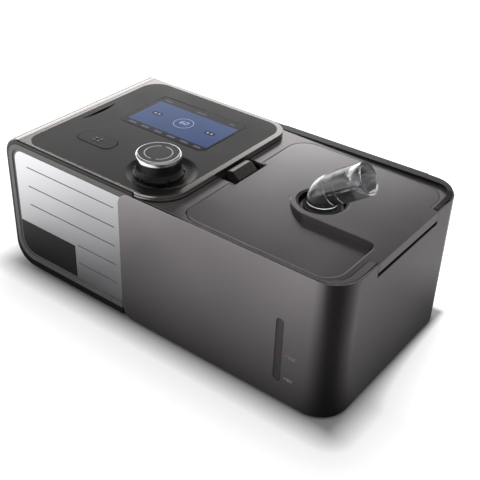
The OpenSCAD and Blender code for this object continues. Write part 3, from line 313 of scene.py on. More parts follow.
# %% Green circuit board
board_green, tree, where = new_finish("solder_mask_board")
tracks = add(tree, "ShaderNodeTexBrick", {"Vector": where, "Scale": 1 / (9 * MM), "Mortar Size": 0.03,
                                          "Color1": linear("#2c5a3c"), "Color2": linear("#2a5539"),
                                          "Mortar": linear("#4c8a5c")})
shader = add(tree, "ShaderNodeBsdfPrincipled", name="solder_mask_board",
             sockets={"Base Color": tracks, "Roughness": 0.35, "IOR": 1.5})
add(tree, "ShaderNodeOutputMaterial", {"Surface": shader})
print("board finish nodes:", len(tree.nodes))

# %% [markdown]
# ## Every node gets its finish
#
# The record names a material slot for each CAD node. This table says which finish stands for each slot. Two
# nodes have a finish of their own: the latch is a little lighter than the frame's plastic, and the frame
# round the lid is lacquered like the lid.

# %% Put the finishes on the CAD nodes
slot_finish = {
    "shell_grey": light_lacquer, "frame_black": frame_abs, "bezel_grey": bezel_abs,
    "panel_silver": panel_lacquer, "cover_grey": cover_lacquer, "lid_grey": lid_lacquer,
    "fascia_grey": fascia_abs, "display_blue": lens_glass, "steel": steel, "chrome": chrome,
    "aluminium": aluminium, "board_green": board_green, "smoke_clear": smoke, "rubber_black": rubber,
    "silicone_grey": silicone, "foam_grey": foam, "filter_white": felt, "winding": copper,
    "magnet_iron": magnet_iron, "insulator_board": insulator_board, "fan_plastic": fan_abs}
node_slot = {part["node"]: part["material_slot"] for part in frame["record"]["subparts"]}
own_finish = {"lid_latch": latch_abs, "top_frame": frame_lacquer}
for name, solid in frame["nodes"].items():
    solid.data.materials.clear()
    solid.data.materials.append(own_finish.get(name, slot_finish[node_slot[name]]))
print("finished nodes:", len(node_slot))

# %% [markdown]
# ## Rounded edges
#
# Moulded edges are never sharp: the mould cutter leaves a radius of a few tenths of a millimetre, and each
# radius catches a thin line of light. The CAD solids have sharp edges, so each outer part gets a copy with
# rounded ones. The edges could be picked one by one, but a bevel that works by angle finds them all. Before
# it, the loose triangles of the CAD mesh are merged and the flat ones joined into whole faces.


# %% A softened copy of a CAD node
SHARP_DEGREES, SMOOTH_DEGREES = 34, 32


def active(piece):
    """Makes a piece the only selected one."""
    bpy.ops.object.select_all(action="DESELECT")
    piece.select_set(True)
    bpy.context.view_layer.objects.active = piece


def edit_all(piece):
    """Opens a piece in edit mode with everything selected."""
    active(piece)
    bpy.ops.object.mode_set(mode="EDIT")
    bpy.ops.mesh.select_all(action="SELECT")


def apply_all(piece):
    """Applies a piece's modifiers in order."""
    active(piece)
    for name in [modifier.name for modifier in piece.modifiers]:
        bpy.ops.object.modifier_apply(modifier=name)


def belongs(piece, node):
    """Lets a piece ride on a node's body."""
    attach(piece, node_body[node])


def middle_mm(piece, edge):
    """The middle of an edge in millimetres from the left end, the front and the table."""
    first, second = (piece.data.vertices[i].co for i in edge.vertices)
    return millimetres((first + second) / 2)


def sharp_edges(piece, degrees):
    """The numbers of the edges that turn by more than an angle."""
    edit_all(piece)
    bpy.ops.mesh.select_mode(type="EDGE")
    bpy.ops.mesh.select_all(action="DESELECT")
    bpy.ops.mesh.edges_select_sharp(sharpness=math.radians(degrees))
    bpy.ops.object.mode_set(mode="OBJECT")
    return {edge.index for edge in piece.data.edges if edge.select}


def round_off(piece, edges, radius, clamp):
    """Bevels the numbered edges of a piece."""
    weights = piece.data.attributes.new("bevel_weight_edge", "FLOAT", "EDGE")
    for number in edges:
        weights.data[number].value = 1.0
    bevel = piece.modifiers.new("rounding", "BEVEL")
    bevel.limit_method = "WEIGHT"
    bevel.width = radius * MM
    bevel.segments = 2
    bevel.miter_outer = "MITER_ARC"
    bevel.use_clamp_overlap = clamp
    apply_all(piece)
    left = piece.data.attributes.get("bevel_weight_edge")
    if left:
        piece.data.attributes.remove(left)


def softened(node, radius, chosen=None, cutter=None):
    """A copy of a CAD node with rounded edges: all sharp ones, or those whose middle, in mm, is chosen.

    What the cutter covers is taken away first."""
    source = frame["nodes"][node]
    piece = bpy.data.objects.new(node + "_finished", source.data.copy())
    bpy.context.scene.collection.objects.link(piece)
    edit_all(piece)
    bpy.ops.mesh.remove_doubles(threshold=0.002 * MM)
    bpy.ops.mesh.dissolve_limited(angle_limit=math.radians(0.4))
    bpy.ops.object.mode_set(mode="OBJECT")
    if cutter:
        cut = piece.modifiers.new("cut", "BOOLEAN")
        cut.operation, cut.solver, cut.object = "DIFFERENCE", "EXACT", cutter
        apply_all(piece)
        bpy.data.objects.remove(cutter)
    edges = sharp_edges(piece, SHARP_DEGREES)
    if chosen:
        edges = {i for i in edges if chosen(middle_mm(piece, piece.data.edges[i]))}
    round_off(piece, edges, radius, not chosen)
    edit_all(piece)
    bpy.ops.mesh.remove_doubles(threshold=0.01 * MM)
    bpy.ops.object.mode_set(mode="OBJECT")
    active(piece)
    bpy.ops.object.shade_smooth_by_angle(angle=math.radians(SMOOTH_DEGREES))
    flat_first = piece.modifiers.new("flat_faces_first", "WEIGHTED_NORMAL")
    flat_first.weight = 100
    flat_first.keep_sharp = True
    apply_all(piece)
    belongs(piece, node)
    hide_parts(node)
    return piece


node_body = {node: body for body, nodes in frame["record"]["behaviour"]["bodies"].items() for node in nodes}
rounding_mm = {"console_case": 0.6, "knob_grip": 0.5, "home_button": 0.35, "lid_latch": 0.6,
               "wrap_cover": 0.25, "left_shell": 0.4, "front_rim": 0.3, "front_bezel": 0.3,
               "front_badge": 0.2, "rear_panel": 0.4, "filter_cover": 0.5, "elbow_seat_ring": 0.4,
               "rubber_feet": 0.6, "slot_insert": 0.2, "case_screws": 0.2, "power_socket": 0.25,
               "elbow": 0.2}
for node, radius in rounding_mm.items():
    piece = softened(node, radius)
    print(node, "faces:", len(piece.data.polygons))

# %% [markdown]
# The lid's lacquer is too dull to mirror the clear elbow, so the elbow is kept out of reflections.

# %% Keep the elbow out of the lid's sheen
elbow = bpy.data.objects["elbow_finished"]
elbow.visible_glossy = False
print(elbow.name, "shows in mirrors:", elbow.visible_glossy)

# %% [markdown]
# The lid and its frame have hidden cuts inside beside the latch, and fine hinge parts. There only the edges
# of the upper surface are rounded. The notch that the latch moves in is 34 mm wide, and its floor stands
# 2.19 mm from the latch's end. The hinge strip is the last 10 mm of the lid.

# %% Lid and frame
lid_end, _, lid_top = box_of("lid_shell")[1]
notch_floor = box_of("lid_latch")[1][0] + 2.19
notch_sides = [middle_of("lid_latch")[1] + half for half in (-17, 17)]
hinge_start = lid_end - 10


def on_top(middle):
    """Edges of the upper surface, away from the hidden cuts beside the latch and from the hinge."""
    by_floor = abs(middle.x - notch_floor) < 0.1
    by_side = middle.x < notch_floor + 0.01 and min(abs(middle.y - side) for side in notch_sides) < 0.1
    return middle.z > lid_top - 0.6 and middle.x < hinge_start and not by_floor and not by_side


for node, radius in (("lid_shell", 0.35), ("top_frame", 0.25)):
    piece = softened(node, radius, chosen=on_top)
    print(node, "faces:", len(piece.data.polygons))

# %% [markdown]
# Under the ramp of the lid's scoop the sheet bends by nine degrees at two creases. On the real lid the bend
# is drawn out over the whole ramp and the lacquer hides it. Its shading follows that: the ramp's normals are
# turned to those of the flat parts beside it.

# %% Ease the ramp's shading
least_up, least_area = 0.96, 20 * MM * MM
lid = bpy.data.objects["lid_shell_finished"]
normals = [corner.vector.copy() for corner in lid.data.corner_normals]
nearly_level = [face for face in lid.data.polygons if face.normal.z > least_up and face.area > least_area]
for face in nearly_level:
    for i in face.loop_indices:
        normals[i] = Vector((0, 0, 1))
lid.data.normals_split_custom_set(normals)
print("faces shaded as level:", len(nearly_level))

# %% [markdown]
# ## The display
#
# The colour screen is lit from behind: a blue field in a dark border, a dark bar above and below, a round
# gauge in the middle and small marks. Each colour is an ink of its own that gives light.

# %% Inks of the screen
def screen_ink(name, colour_hex, strength):
    """A lit part of the screen: an even light that is a little uneven, as from a row of lamps at one edge."""
    material, tree, where = new_finish(name)
    light = add(tree, "ShaderNodeTexNoise", {"Vector": where, "Scale": 1 / (30 * MM), "Detail": 0.0})
    level = add(tree, "ShaderNodeMapRange", around(light, 1.0, 0.08))
    shade = add(tree, "ShaderNodeVectorMath", {0: linear(colour_hex)[:3], "Scale": level}, operation="SCALE")
    shader = add(tree, "ShaderNodeBsdfPrincipled", name=name, sockets={
        "Base Color": (0.01, 0.01, 0.012, 1.0), "Roughness": 0.15, "Specular IOR Level": 0.1,
        "Emission Color": shade, "Emission Strength": strength})
    add(tree, "ShaderNodeOutputMaterial", {"Surface": shader})
    return material


field_ink = screen_ink("screen_blue_field", "#3c5283", 0.8)
bar_ink = screen_ink("screen_dark_bar", "#15171f", 0.7)
border_ink = screen_ink("screen_black_border", "#0b0b0d", 0.5)
pale_ink = screen_ink("screen_pale_marks", "#a9bbe0", 0.9)
night_ink = screen_ink("screen_night_marks", "#141a2c", 0.7)
grey_ink = screen_ink("screen_grey_marks", "#6c7280", 0.6)
print("materials so far:", len(bpy.data.materials))

# %% [markdown]
# Every new piece ends the same way: its mesh holds its place, it takes its finishes, and it rides on a node's
# body.


# %% Helpers for new pieces
def keep(name, node, *materials):
    """Finishes the active piece: its place goes into its mesh, and it rides on a node's body."""
    piece = bpy.context.object
    bpy.ops.object.transform_apply(location=True, rotation=True, scale=True)
    piece.name = name
    for material in materials:
        piece.data.materials.append(material)
    belongs(piece, node)
    return piece


def slab(low, high, corner=0.0, edge=0.0):
    """A block between two corners in millimetres, with rounded upright corners and softened upper edges."""
    bpy.ops.object.select_all(action="DESELECT")
    low, high = place(*low), place(*high)
    bpy.ops.mesh.primitive_cube_add(size=1, location=(low + high) / 2)
    piece = bpy.context.object
    piece.scale = high - low
    bpy.ops.object.transform_apply(location=True, rotation=True, scale=True)
    if corner:
        select_edges(piece, lambda a, b: abs(a.z - b.z) > abs(a.x - b.x) + abs(a.y - b.y))
        bpy.ops.mesh.bevel(offset=corner * MM, segments=5)
        bpy.ops.object.mode_set(mode="OBJECT")
    if edge:
        top = max(v.co.z for v in piece.data.vertices) - 0.001 * MM
        select_edges(piece, lambda a, b: a.z > top and b.z > top)
        bpy.ops.mesh.bevel(offset=edge * MM, segments=2)
        bpy.ops.object.mode_set(mode="OBJECT")
    bpy.ops.object.shade_smooth_by_angle(angle=math.radians(SMOOTH_DEGREES))
    return piece


def select_edges(piece, wanted):
    """Opens a piece in edit mode with only the edges selected whose two ends are wanted."""
    active(piece)
    bpy.ops.object.mode_set(mode="EDIT")
    bpy.ops.mesh.select_mode(type="EDGE")
    bpy.ops.mesh.select_all(action="DESELECT")
    bpy.ops.object.mode_set(mode="OBJECT")
    corners = piece.data.vertices
    for edge in piece.data.edges:
        edge.select = bool(wanted(corners[edge.vertices[0]].co, corners[edge.vertices[1]].co))
    bpy.ops.object.mode_set(mode="EDIT")


def select_faces(piece, wanted):
    """Opens a piece in edit mode with only the faces selected that are wanted by centre and normal."""
    active(piece)
    bpy.ops.object.mode_set(mode="EDIT")
    bpy.ops.mesh.select_mode(type="FACE")
    bpy.ops.mesh.select_all(action="DESELECT")
    bpy.ops.object.mode_set(mode="OBJECT")
    for face in piece.data.polygons:
        face.select = bool(wanted(face.center, face.normal))
    bpy.ops.object.mode_set(mode="EDIT")


def joined(name, pieces):
    """Several pieces made one."""
    bpy.ops.object.select_all(action="DESELECT")
    for piece in pieces:
        piece.select_set(True)
    bpy.context.view_layer.objects.active = pieces[0]
    bpy.ops.object.join()
    pieces[0].name = name
    return pieces[0]


# %% [markdown]
# The screen's picture is one thin sheet, cut by bisecting a plane along the field's edges, and each part of
# it gets its own ink. A picture texture would be quicker, but cut faces stay sharp at any distance. The sheet
# ends half a millimetre inside the window's edge and lies just above it.

# %% The screen's sheet
lens_low, lens_high = box_of("display_lens")
screen_level = lens_high[2] + 0.04
field_left, field_right = lens_low[0] + 3, lens_high[0] - 2
field_front, field_back = lens_low[1] + 7, lens_high[1] - 9
bpy.ops.object.select_all(action="DESELECT")
bpy.ops.mesh.primitive_plane_add(size=1, location=place(*middle_of("display_lens"), screen_level))
sheet = bpy.context.object
sheet.scale = ((lens_high[0] - lens_low[0] - 1) * MM, (lens_high[1] - lens_low[1] - 1) * MM, 1)
bpy.ops.object.transform_apply(location=True, rotation=True, scale=True)
for at, normal in ((place(field_left, 0, 0), (1, 0, 0)), (place(field_right, 0, 0), (1, 0, 0)),
                   (place(0, field_front, 0), (0, 1, 0)), (place(0, field_back, 0), (0, 1, 0))):
    edit_all(sheet)
    bpy.ops.mesh.bisect(plane_co=at, plane_no=normal)
    bpy.ops.object.mode_set(mode="OBJECT")
screen = keep("screen_picture", "display_module", border_ink, field_ink, bar_ink)
for face in screen.data.polygons:
    x, y = millimetres(face.center)[:2]
    in_width, in_depth = field_left < x < field_right, field_front < y < field_back
    face.material_index = (1 if in_depth else 2) if in_width else 0
thickness = screen.modifiers.new("sheet", "SOLIDIFY")
thickness.thickness = 0.05 * MM
apply_all(screen)
print("screen faces:", len(screen.data.polygons))

# %% [markdown]
# The marks are flat pieces a few hundredths of a millimetre thick, laid on the sheet. The gauge is a ring,
# cut out of a disc by an inset, and its number is made from text.

# %% The gauge and its number
gauge_x, gauge_y = lens_low[0] + 40, lens_low[1] + 25.5
bpy.ops.object.select_all(action="DESELECT")
bpy.ops.mesh.primitive_circle_add(vertices=72, radius=7.6 * MM, fill_type="NGON",
                                  location=place(gauge_x, gauge_y, screen_level + 0.01))
bpy.ops.object.mode_set(mode="EDIT")
bpy.ops.mesh.inset(thickness=0.5 * MM, depth=0)
bpy.ops.mesh.delete(type="FACE")
bpy.ops.mesh.select_all(action="SELECT")
bpy.ops.mesh.extrude_region_move(TRANSFORM_OT_translate={"value": (0, 0, 0.03 * MM)})
bpy.ops.object.mode_set(mode="OBJECT")
keep("screen_gauge", "display_module", pale_ink)

bpy.ops.object.select_all(action="DESELECT")
bpy.ops.object.text_add(location=(0, 0, 0))
number = bpy.context.object
number.data.body = "60"
number.data.size = 7.5 * MM
number.data.align_x, number.data.align_y = "CENTER", "CENTER"
number.data.extrude = 0.03 * MM
bpy.ops.object.convert(target="MESH")
number.location = place(gauge_x, gauge_y + 0.6, screen_level + 0.03)
number = keep("screen_number", "display_module", pale_ink)
print("the number's faces:", len(number.data.polygons))

# %% [markdown]
# The small marks are blocks with rounded corners, placed from the window's left front corner: a line under
# the number, three words at the back, six at the front, and an oval with two dots on either side of the ring.


# %% The small marks
def marks(name, ink, level, corner, blocks):
    """Flat blocks, each given by its left, front, width and depth on the window, made one piece."""
    left, front, low = lens_low[0], lens_low[1], screen_level + level
    joined(name, [slab((left + x, front + y, low), (left + x + width, front + y + depth, low + 0.02), corner)
                  for x, y, width, depth in blocks])
    piece = keep(name, "display_module", ink)
    print(name, "from", len(blocks), "blocks, faces:", len(piece.data.polygons))


back_words = [(5, 46, 6, 1.2), (35, 46, 9, 1.2), (65, 46, 5, 1.2)]
front_words = [(x, 2.8, 7, 2.2) for x in (7, 19, 31, 43, 55)] + [(67, 2.8, 6, 2.2)]
marks("screen_small_marks", grey_ink, 0.0, 0.4, [(34.5, 20.1, 11, 0.6)] + back_words + front_words)
marks("screen_arrows", night_ink, 0.0, 2.2, [(x, 23, 9, 5) for x in (10.5, 59.5)])
marks("screen_dots", pale_ink, 0.02, 0.8, [(x, 24.6, 1.8, 1.8) for x in (12.4, 15.8, 61.4, 64.8)])

# %% [markdown]
# The window is a plate of glass with rounded corners. The screen's sheet lies on it.

# %% The display window
slab((lens_low[0], lens_low[1], lens_low[2] + 0.1), lens_high, 1.2, 0.2)
window = keep("display_window", "display_lens", lens_glass)
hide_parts("display_lens")
print("window faces:", len(window.data.polygons))

# %% [markdown]
# ## Key and knob
#
# Four raised dots mark the key. They are one low dome, copied three times. The dome is a short cylinder whose
# upper face is inset and lifted a little.

# %% Dots on the key
key_x, key_y = middle_of("home_button")
key_top = box_of("home_button")[1][2]
apart_x, apart_y = 4.2, 3.2
first = place(key_x - apart_x / 2, key_y - apart_y / 2, key_top + 0.05)
bpy.ops.object.select_all(action="DESELECT")
bpy.ops.mesh.primitive_cylinder_add(vertices=24, radius=1.0 * MM, depth=0.3 * MM, location=first)
dot = bpy.context.object
select_faces(dot, lambda centre, normal: normal.z > 0.9)
bpy.ops.mesh.inset(thickness=0.35 * MM, depth=0.12 * MM)
bpy.ops.object.mode_set(mode="OBJECT")
bpy.ops.object.shade_smooth_by_angle(angle=math.radians(50))
dots = [dot]
for step in ((apart_x, 0, 0), (0, apart_y, 0), (apart_x, apart_y, 0)):
    another = bpy.data.objects.new("key_dot", dot.data.copy())
    bpy.context.scene.collection.objects.link(another)
    another.location = first + Vector(step) * MM
    dots.append(another)
joined("key_dots", dots)
keep("key_dots", "home_button", pitted("moulded_abs_key_dots", "#77726f", 0.35))
print("key dots:", len(dots))

# %% [markdown]
# The knob's rim is a chromed ring with a rounded top. A ring is a turned shape, so its profile is drawn as a
# loop of points and spun round the knob's axis. Two arcs of bright inlay are spun in the same way.


# %% Spun rings
def turned(centre, profile, start=0.0, sweep=360.0, steps=96):
    """A closed profile of radius and height in millimetres, spun round an upright axis."""
    bpy.ops.object.select_all(action="DESELECT")
    fill = "NOTHING" if sweep == 360 else "NGON"
    bpy.ops.mesh.primitive_circle_add(vertices=len(profile), radius=MM, fill_type=fill)
    ring = bpy.context.object
    turn = math.radians(start)
    middle = place(*centre)
    for corner, (radius, height) in zip(ring.data.vertices, profile):
        corner.co = middle + Vector((radius * math.cos(turn), radius * math.sin(turn), height)) * MM
    edit_all(ring)
    bpy.ops.mesh.spin(steps=steps, angle=math.radians(sweep), center=middle, axis=(0, 0, 1))
    bpy.ops.mesh.select_all(action="SELECT")
    bpy.ops.mesh.remove_doubles(threshold=0.001 * MM)
    bpy.ops.mesh.normals_make_consistent(inside=False)
    bpy.ops.object.mode_set(mode="OBJECT")
    bpy.ops.object.shade_smooth_by_angle(angle=math.radians(40))
    return ring


def spun(name, node, material, *shape):
    """A turned piece with its name, its node and its finish."""
    turned(*shape)
    return keep(name, node, material)


knob_x, knob_y = middle_of("knob_disc")
ring_top, disc_top = box_of("knob_ring")[1][2], box_of("knob_disc")[1][2]
rim = [(13.12, -3.3), (15.1, -3.3), (15.1, -1.5), (14.95, -0.9), (14.6, -0.4), (14.1, -0.1), (13.6, 0.0),
       (13.25, -0.12), (13.12, -0.45)]
chrome_rim = spun("knob_chrome_rim", "knob_ring", chrome, (knob_x, knob_y, ring_top), rim)
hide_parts("knob_ring")
silver = worked_metal("brushed_silver_inlay", "#b4b4b8", 0.3)
inlay = [(8.7, -0.05), (9.5, -0.05), (9.5, 0.06), (8.7, 0.06)]
for side, start in (("left", 100), ("right", -80)):
    spun("knob_inlay_" + side, "knob_disc", silver, (knob_x, knob_y, disc_top), inlay, start, 160, 40)
print("knob rim faces:", len(chrome_rim.data.polygons))

# %% [markdown]
# Round the knob the fascia is hollowed, so that fingertips reach the knob's foot. The CAD fascia has a very
# flat dish there. The moulded one has a level floor and a wall that swings up to the surface, so a turned
# cutter with that outline deepens the dish, within the same circle and within the fascia's thickness.

# %% Fascia with its dish
console_top = box_of("console_fascia")[1][2]
dish_r, dish_depth = 24.0, 1.9
wall = [(17.6, -dish_depth), (18.6, -1.84), (19.6, -1.66), (20.6, -1.32), (21.6, -0.85), (22.4, -0.48),
        (23.2, -0.2), (dish_r, 0.0)]
cutter = turned((knob_x - 0.5, knob_y + 3.5, console_top), [(0, -dish_depth)] + wall + [(dish_r, 3), (0, 3)])
fascia = softened("console_fascia", 0.3, cutter=cutter)
print("fascia faces:", len(fascia.data.polygons))

# %% [markdown]
# ## Water level marks
#
# Beside the slit stand two small printed words, and each has a red line across the window. Printed ink has a
# thickness of a few hundredths of a millimetre, so the letters are turned into thin solids.

# %% Level marks
red_ink = pitted("printed_red_ink", "#a02c2c", 0.5, depth=0.0)
pale_print = pitted("printed_pale_ink", "#c4c0c0", 0.6, depth=0.0)
slit_x = middle_of("level_window")[0]
slit_y = box_of("level_window")[0][1]
for word, height in (("MAX", 38.9), ("MIN", 21.1)):
    slab((slit_x - 2.4, slit_y - 0.1, height - 0.35), (slit_x + 2.4, slit_y + 0.02, height + 0.35), edge=0.05)
    keep("level_line_" + word, "level_window", red_ink)
    bpy.ops.object.select_all(action="DESELECT")
    bpy.ops.object.text_add(location=(0, 0, 0), rotation=(math.radians(90), 0, 0))
    letters = bpy.context.object
    letters.data.body = word
    letters.data.size = 3.4 * MM
    letters.data.offset = 0.08 * MM
    letters.data.align_y = "CENTER"
    letters.data.extrude = 0.03 * MM
    bpy.ops.object.convert(target="MESH")
    letters.location = place(slit_x + 5.4, -0.03, height)
    keep("level_word_" + word, "wrap_cover", pale_print)
    print("level mark", word, "at", height, "mm")

# %% [markdown]
# ## Table top, backdrop and light
#
# The photograph is a catalogue picture on white, with one soft shadow under the machine. A large matt floor
# catches that shadow. Where the lacquered sides mirror the table, they get darker towards the bottom, and
# the right front corner holds a black band. Both are painted reflection: glossy rays see no table there but
# an emission painted on the floor, dark near the machine, brighter to the left, and black beyond the right
# front corner on the camera's side. So the floor has two looks. The camera sees a pale table with a shadow.
# Glossy rays see the painted reflection, which grows brighter with the distance from the machine.

# %% What the floor shows to the camera and to mirrors
bpy.ops.object.select_all(action="DESELECT")
bpy.ops.mesh.primitive_plane_add(size=8, location=(0, 0, 0))
floor = bpy.context.object
floor.name = "table_top"
floor_finish, tree, where = new_finish("matt_white_table_top")
footprint = (LEFT_TO_ORIGIN * MM, FRONT_TO_ORIGIN * MM, 0)

outside = add(tree, "ShaderNodeVectorMath", {0: where}, operation="ABSOLUTE")
outside = add(tree, "ShaderNodeVectorMath", {0: outside, 1: footprint}, operation="SUBTRACT")
outside = add(tree, "ShaderNodeVectorMath", {0: outside, 1: (0, 0, 0)}, operation="MAXIMUM")
distance = add(tree, "ShaderNodeVectorMath", {0: outside}, operation="LENGTH").outputs["Value"]
axes = add(tree, "ShaderNodeSeparateXYZ", {"Vector": where})
along, across = axes.outputs["X"], axes.outputs["Y"]
print("table top reaches", round(floor.dimensions.x, 1), "m")

# %% [markdown]
# The painted reflection gets brighter with the distance from the machine. It is brighter still on the left,
# taken away behind on the left, and duller on the right. A black band beyond the right front corner is
# painted by the angle round that corner.

# %% Painted reflection in the mirror of the sides
# Painted reflection: what glossy rays see on the floor is an emission, dark near the machine and brighter
# away from it.
painted_reflection_level = add(tree, "ShaderNodeMapRange", span(distance, 0.0, 0.25, 0.08, 1.5))
# Painted reflection: the emission is made brighter on the left and weaker behind and on the right.
on_left = add(tree, "ShaderNodeMapRange", span(along, -0.08, -0.24, 0.0, 0.8))
off_foot = add(tree, "ShaderNodeMapRange", span(distance, 0.0, 0.06, 0.0, 1.0))
painted_left_light = add(tree, "ShaderNodeMath", {0: on_left, 1: off_foot}, operation="MULTIPLY")
painted_reflection_level = add(tree, "ShaderNodeMath", {0: painted_reflection_level, 1: painted_left_light}, operation="ADD")

behind = add(tree, "ShaderNodeMapRange", span(across, -0.10, -0.04, 0.0, 0.9))
beside = add(tree, "ShaderNodeMapRange", span(along, -0.05, -0.12, 0.0, 1.0))
taken = add(tree, "ShaderNodeMath", {0: behind, 1: beside}, operation="MULTIPLY")
left_over = add(tree, "ShaderNodeMath", {0: 1.0, 1: taken}, operation="SUBTRACT")
painted_reflection_level = add(tree, "ShaderNodeMath", {0: painted_reflection_level, 1: left_over}, operation="MULTIPLY")

duller = add(tree, "ShaderNodeMapRange", span(along, 0.12, 0.16, 2.0, 0.42))
painted_reflection_level = add(tree, "ShaderNodeMath", {0: painted_reflection_level, 1: duller}, operation="MINIMUM")

# Painted reflection: a black band beyond the right front corner, painted into the floor's emission by the
# angle round that corner.
near_corner, dark_band_heading = (footprint[0] - 0.02, 0.02 - footprint[1], 0), (0.788, -0.616, 0)
from_corner = add(tree, "ShaderNodeVectorMath", {0: where, 1: near_corner}, operation="SUBTRACT")
from_corner = add(tree, "ShaderNodeVectorMath", {0: from_corner}, operation="NORMALIZE")
facing = add(tree, "ShaderNodeVectorMath", {0: from_corner, 1: dark_band_heading}, operation="DOT_PRODUCT")
painted_dark_band = add(tree, "ShaderNodeMapRange", span(facing.outputs["Value"], 0.98, 0.25, 0.1, 1.0))
painted_reflection_level = add(tree, "ShaderNodeMath", {0: painted_reflection_level, 1: painted_dark_band}, operation="MULTIPLY")
painted_reflection = add(tree, "ShaderNodeEmission", {"Color": (1, 1, 1, 1), "Strength": painted_reflection_level})
print("nodes with the cards:", len(tree.nodes))

# %% [markdown]
# The camera sees matt white with a shadow. A glow that starts at the machine's foot keeps the table white and
# the shadow short. It starts sooner behind the machine and at the back of the right side.

# %% Table top with its shadow
matt = add(tree, "ShaderNodeBsdfDiffuse", {"Color": linear("#e4e4e6")})
on_right = add(tree, "ShaderNodeMapRange", span(along, 0.12, 0.14, 0.0, 1.0))
to_back = add(tree, "ShaderNodeMapRange", span(across, -0.04, 0.05, 0.0, 2.5))
shorter = add(tree, "ShaderNodeMath", {0: on_right, 1: to_back}, operation="MULTIPLY")
at_back = add(tree, "ShaderNodeMapRange", span(across, 0.04, footprint[1], 0.0, 3.5))
shorter = add(tree, "ShaderNodeMath", {0: shorter, 1: at_back}, operation="MAXIMUM")
shorter = add(tree, "ShaderNodeMath", {0: 1.0, 1: shorter}, operation="ADD")
away = add(tree, "ShaderNodeMath", {0: distance, 1: shorter}, operation="MULTIPLY")
near = add(tree, "ShaderNodeMapRange", span(away, 0.0, 0.02, 0.0, 0.6))
far = add(tree, "ShaderNodeMapRange", span(away, 0.0, 0.09, 0.0, 0.35))
both = add(tree, "ShaderNodeMath", {0: near, 1: far}, operation="ADD")
glow = add(tree, "ShaderNodeEmission", {"Color": (1, 1, 1, 1), "Strength": both})
pale = add(tree, "ShaderNodeAddShader", {0: matt, 1: glow})

rays = add(tree, "ShaderNodeLightPath")
straight, through = rays.outputs["Is Camera Ray"], rays.outputs["Is Transmission Ray"]
seen = add(tree, "ShaderNodeMath", {0: straight, 1: through}, operation="MAXIMUM")
seen = add(tree, "ShaderNodeMixShader", {"Fac": seen, 1: matt, 2: pale})
# Glossy rays see the painted reflection instead of the lit table.
table = add(tree, "ShaderNodeMixShader", {"Fac": rays.outputs["Is Glossy Ray"], 1: seen, 2: painted_reflection})
add(tree, "ShaderNodeOutputMaterial", {"Surface": table})
floor.data.materials.append(floor_finish)
print("floor nodes:", len(tree.nodes))

# %% [markdown]
# The room is white to the camera and through clear plastic, and dim to matt surfaces. Mirrors see a white
# backdrop that fades out between 28 and 36 degrees up and towards both ends, a brighter strip low on the
# left, a grey room on the other sides and a grey ceiling.

# %% The room
world = bpy.data.worlds.new("studio")
bpy.context.scene.world = world
world.use_nodes = True
tree = world.node_tree
tree.nodes.clear()
direction = add(tree, "ShaderNodeTexCoord").outputs["Generated"]
direction = add(tree, "ShaderNodeSeparateXYZ", {"Vector": direction})
rightward, backward, up = (direction.outputs[axis] for axis in "XYZ")

backdrop = add(tree, "ShaderNodeMapRange", span(up, 0.47, 0.585, 0.8, 0.0))
right_end = add(tree, "ShaderNodeMapRange", span(rightward, -0.33, -0.46, 0.25, 1.0))
left_end = add(tree, "ShaderNodeMapRange", span(rightward, -0.48, -0.56, 1.0, 0.1))
width = add(tree, "ShaderNodeMath", {0: right_end, 1: left_end}, operation="MINIMUM")
backdrop = add(tree, "ShaderNodeMath", {0: backdrop, 1: width}, operation="MULTIPLY")

right_side = add(tree, "ShaderNodeMapRange", span(rightward, -0.2, 0.1, 0.0, 0.2))
front_side = add(tree, "ShaderNodeMapRange", span(backward, 0.4, 0.1, 0.0, 0.06))
other_sides = add(tree, "ShaderNodeMath", {0: right_side, 1: front_side}, operation="MAXIMUM")
ceiling = add(tree, "ShaderNodeMapRange", span(up, 0.68, 0.85, 0.0, 0.35))
low = add(tree, "ShaderNodeMapRange", span(up, 0.43, 0.40, 0.0, 1.0))
left = add(tree, "ShaderNodeMapRange", span(rightward, -0.48, -0.53, 0.0, 1.0))
low_left = add(tree, "ShaderNodeMath", {0: low, 1: left}, operation="MULTIPLY")
for more in (0.05, other_sides, ceiling, low_left):
    backdrop = add(tree, "ShaderNodeMath", {0: backdrop, 1: more}, operation="ADD")
print("backdrop nodes:", len(tree.nodes))

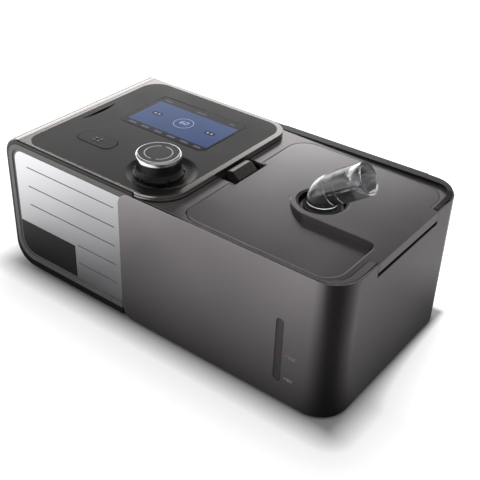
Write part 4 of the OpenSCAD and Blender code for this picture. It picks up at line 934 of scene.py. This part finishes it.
# %% [markdown]
# Each kind of ray then gets its own background: matt surfaces a dim one, mirrors the backdrop, and the camera
# plain white.

# %% The room for each kind of ray
rays = add(tree, "ShaderNodeLightPath")
straight, through = rays.outputs["Is Camera Ray"], rays.outputs["Is Transmission Ray"]
shown = add(tree, "ShaderNodeMath", {0: straight, 1: through}, operation="MAXIMUM")
soft_room = add(tree, "ShaderNodeBackground", {"Color": (1, 1, 1, 1), "Strength": 0.3})
mirrored = add(tree, "ShaderNodeBackground", {"Color": (1, 1, 1, 1), "Strength": backdrop})
white_room = add(tree, "ShaderNodeBackground", {"Color": (1, 1, 1, 1), "Strength": 1.0})
unseen = add(tree, "ShaderNodeMixShader", {"Fac": rays.outputs["Is Glossy Ray"], 1: soft_room, 2: mirrored})
room = add(tree, "ShaderNodeMixShader", {"Fac": shown, 1: unseen, 2: white_room})
add(tree, "ShaderNodeOutputWorld", {"Surface": room})
print("room nodes:", len(tree.nodes))

# %% [markdown]
# ## Lamps
#
# A bright panel stands low behind the machine, to the left. The top surfaces mirror it where the camera
# looks at them flatly, so the lid is light at the back and dark at the front. A softbox above and behind
# lights the matt parts and lays the shadow towards the front. It is kept out of mirrors, where it would
# bleach the tops. The view transform Standard shows the colours as they are written.


# %% Lamps
def softbox(name, at, towards, width, height, brightness):
    """A rectangular studio lamp that points at a place. A brightness of 1 looks just white."""
    data = bpy.data.lights.new(name, "AREA")
    data.shape = "RECTANGLE"
    data.size = width
    data.size_y = height
    data.energy = brightness * math.pi * width * height
    lamp = bpy.data.objects.new(name, data)
    bpy.context.scene.collection.objects.link(lamp)
    lamp.location = at
    lamp.rotation_euler = (Vector(towards) - Vector(at)).to_track_quat("-Z", "Y").to_euler()
    print(name, "power", round(data.energy, 2), "W")
    return lamp


panel_height = 0.345
softbox("panel_back_left", (-0.516, 0.737, panel_height), (0, 0, panel_height), 2.0, 0.43, 1.5)
overhead = softbox("softbox_overhead", (-0.25, 0.45, 1.3), (0, 0, 0), 0.5, 0.5, 3.5)
overhead.visible_glossy = False
bpy.context.scene.view_settings.view_transform = "Standard"
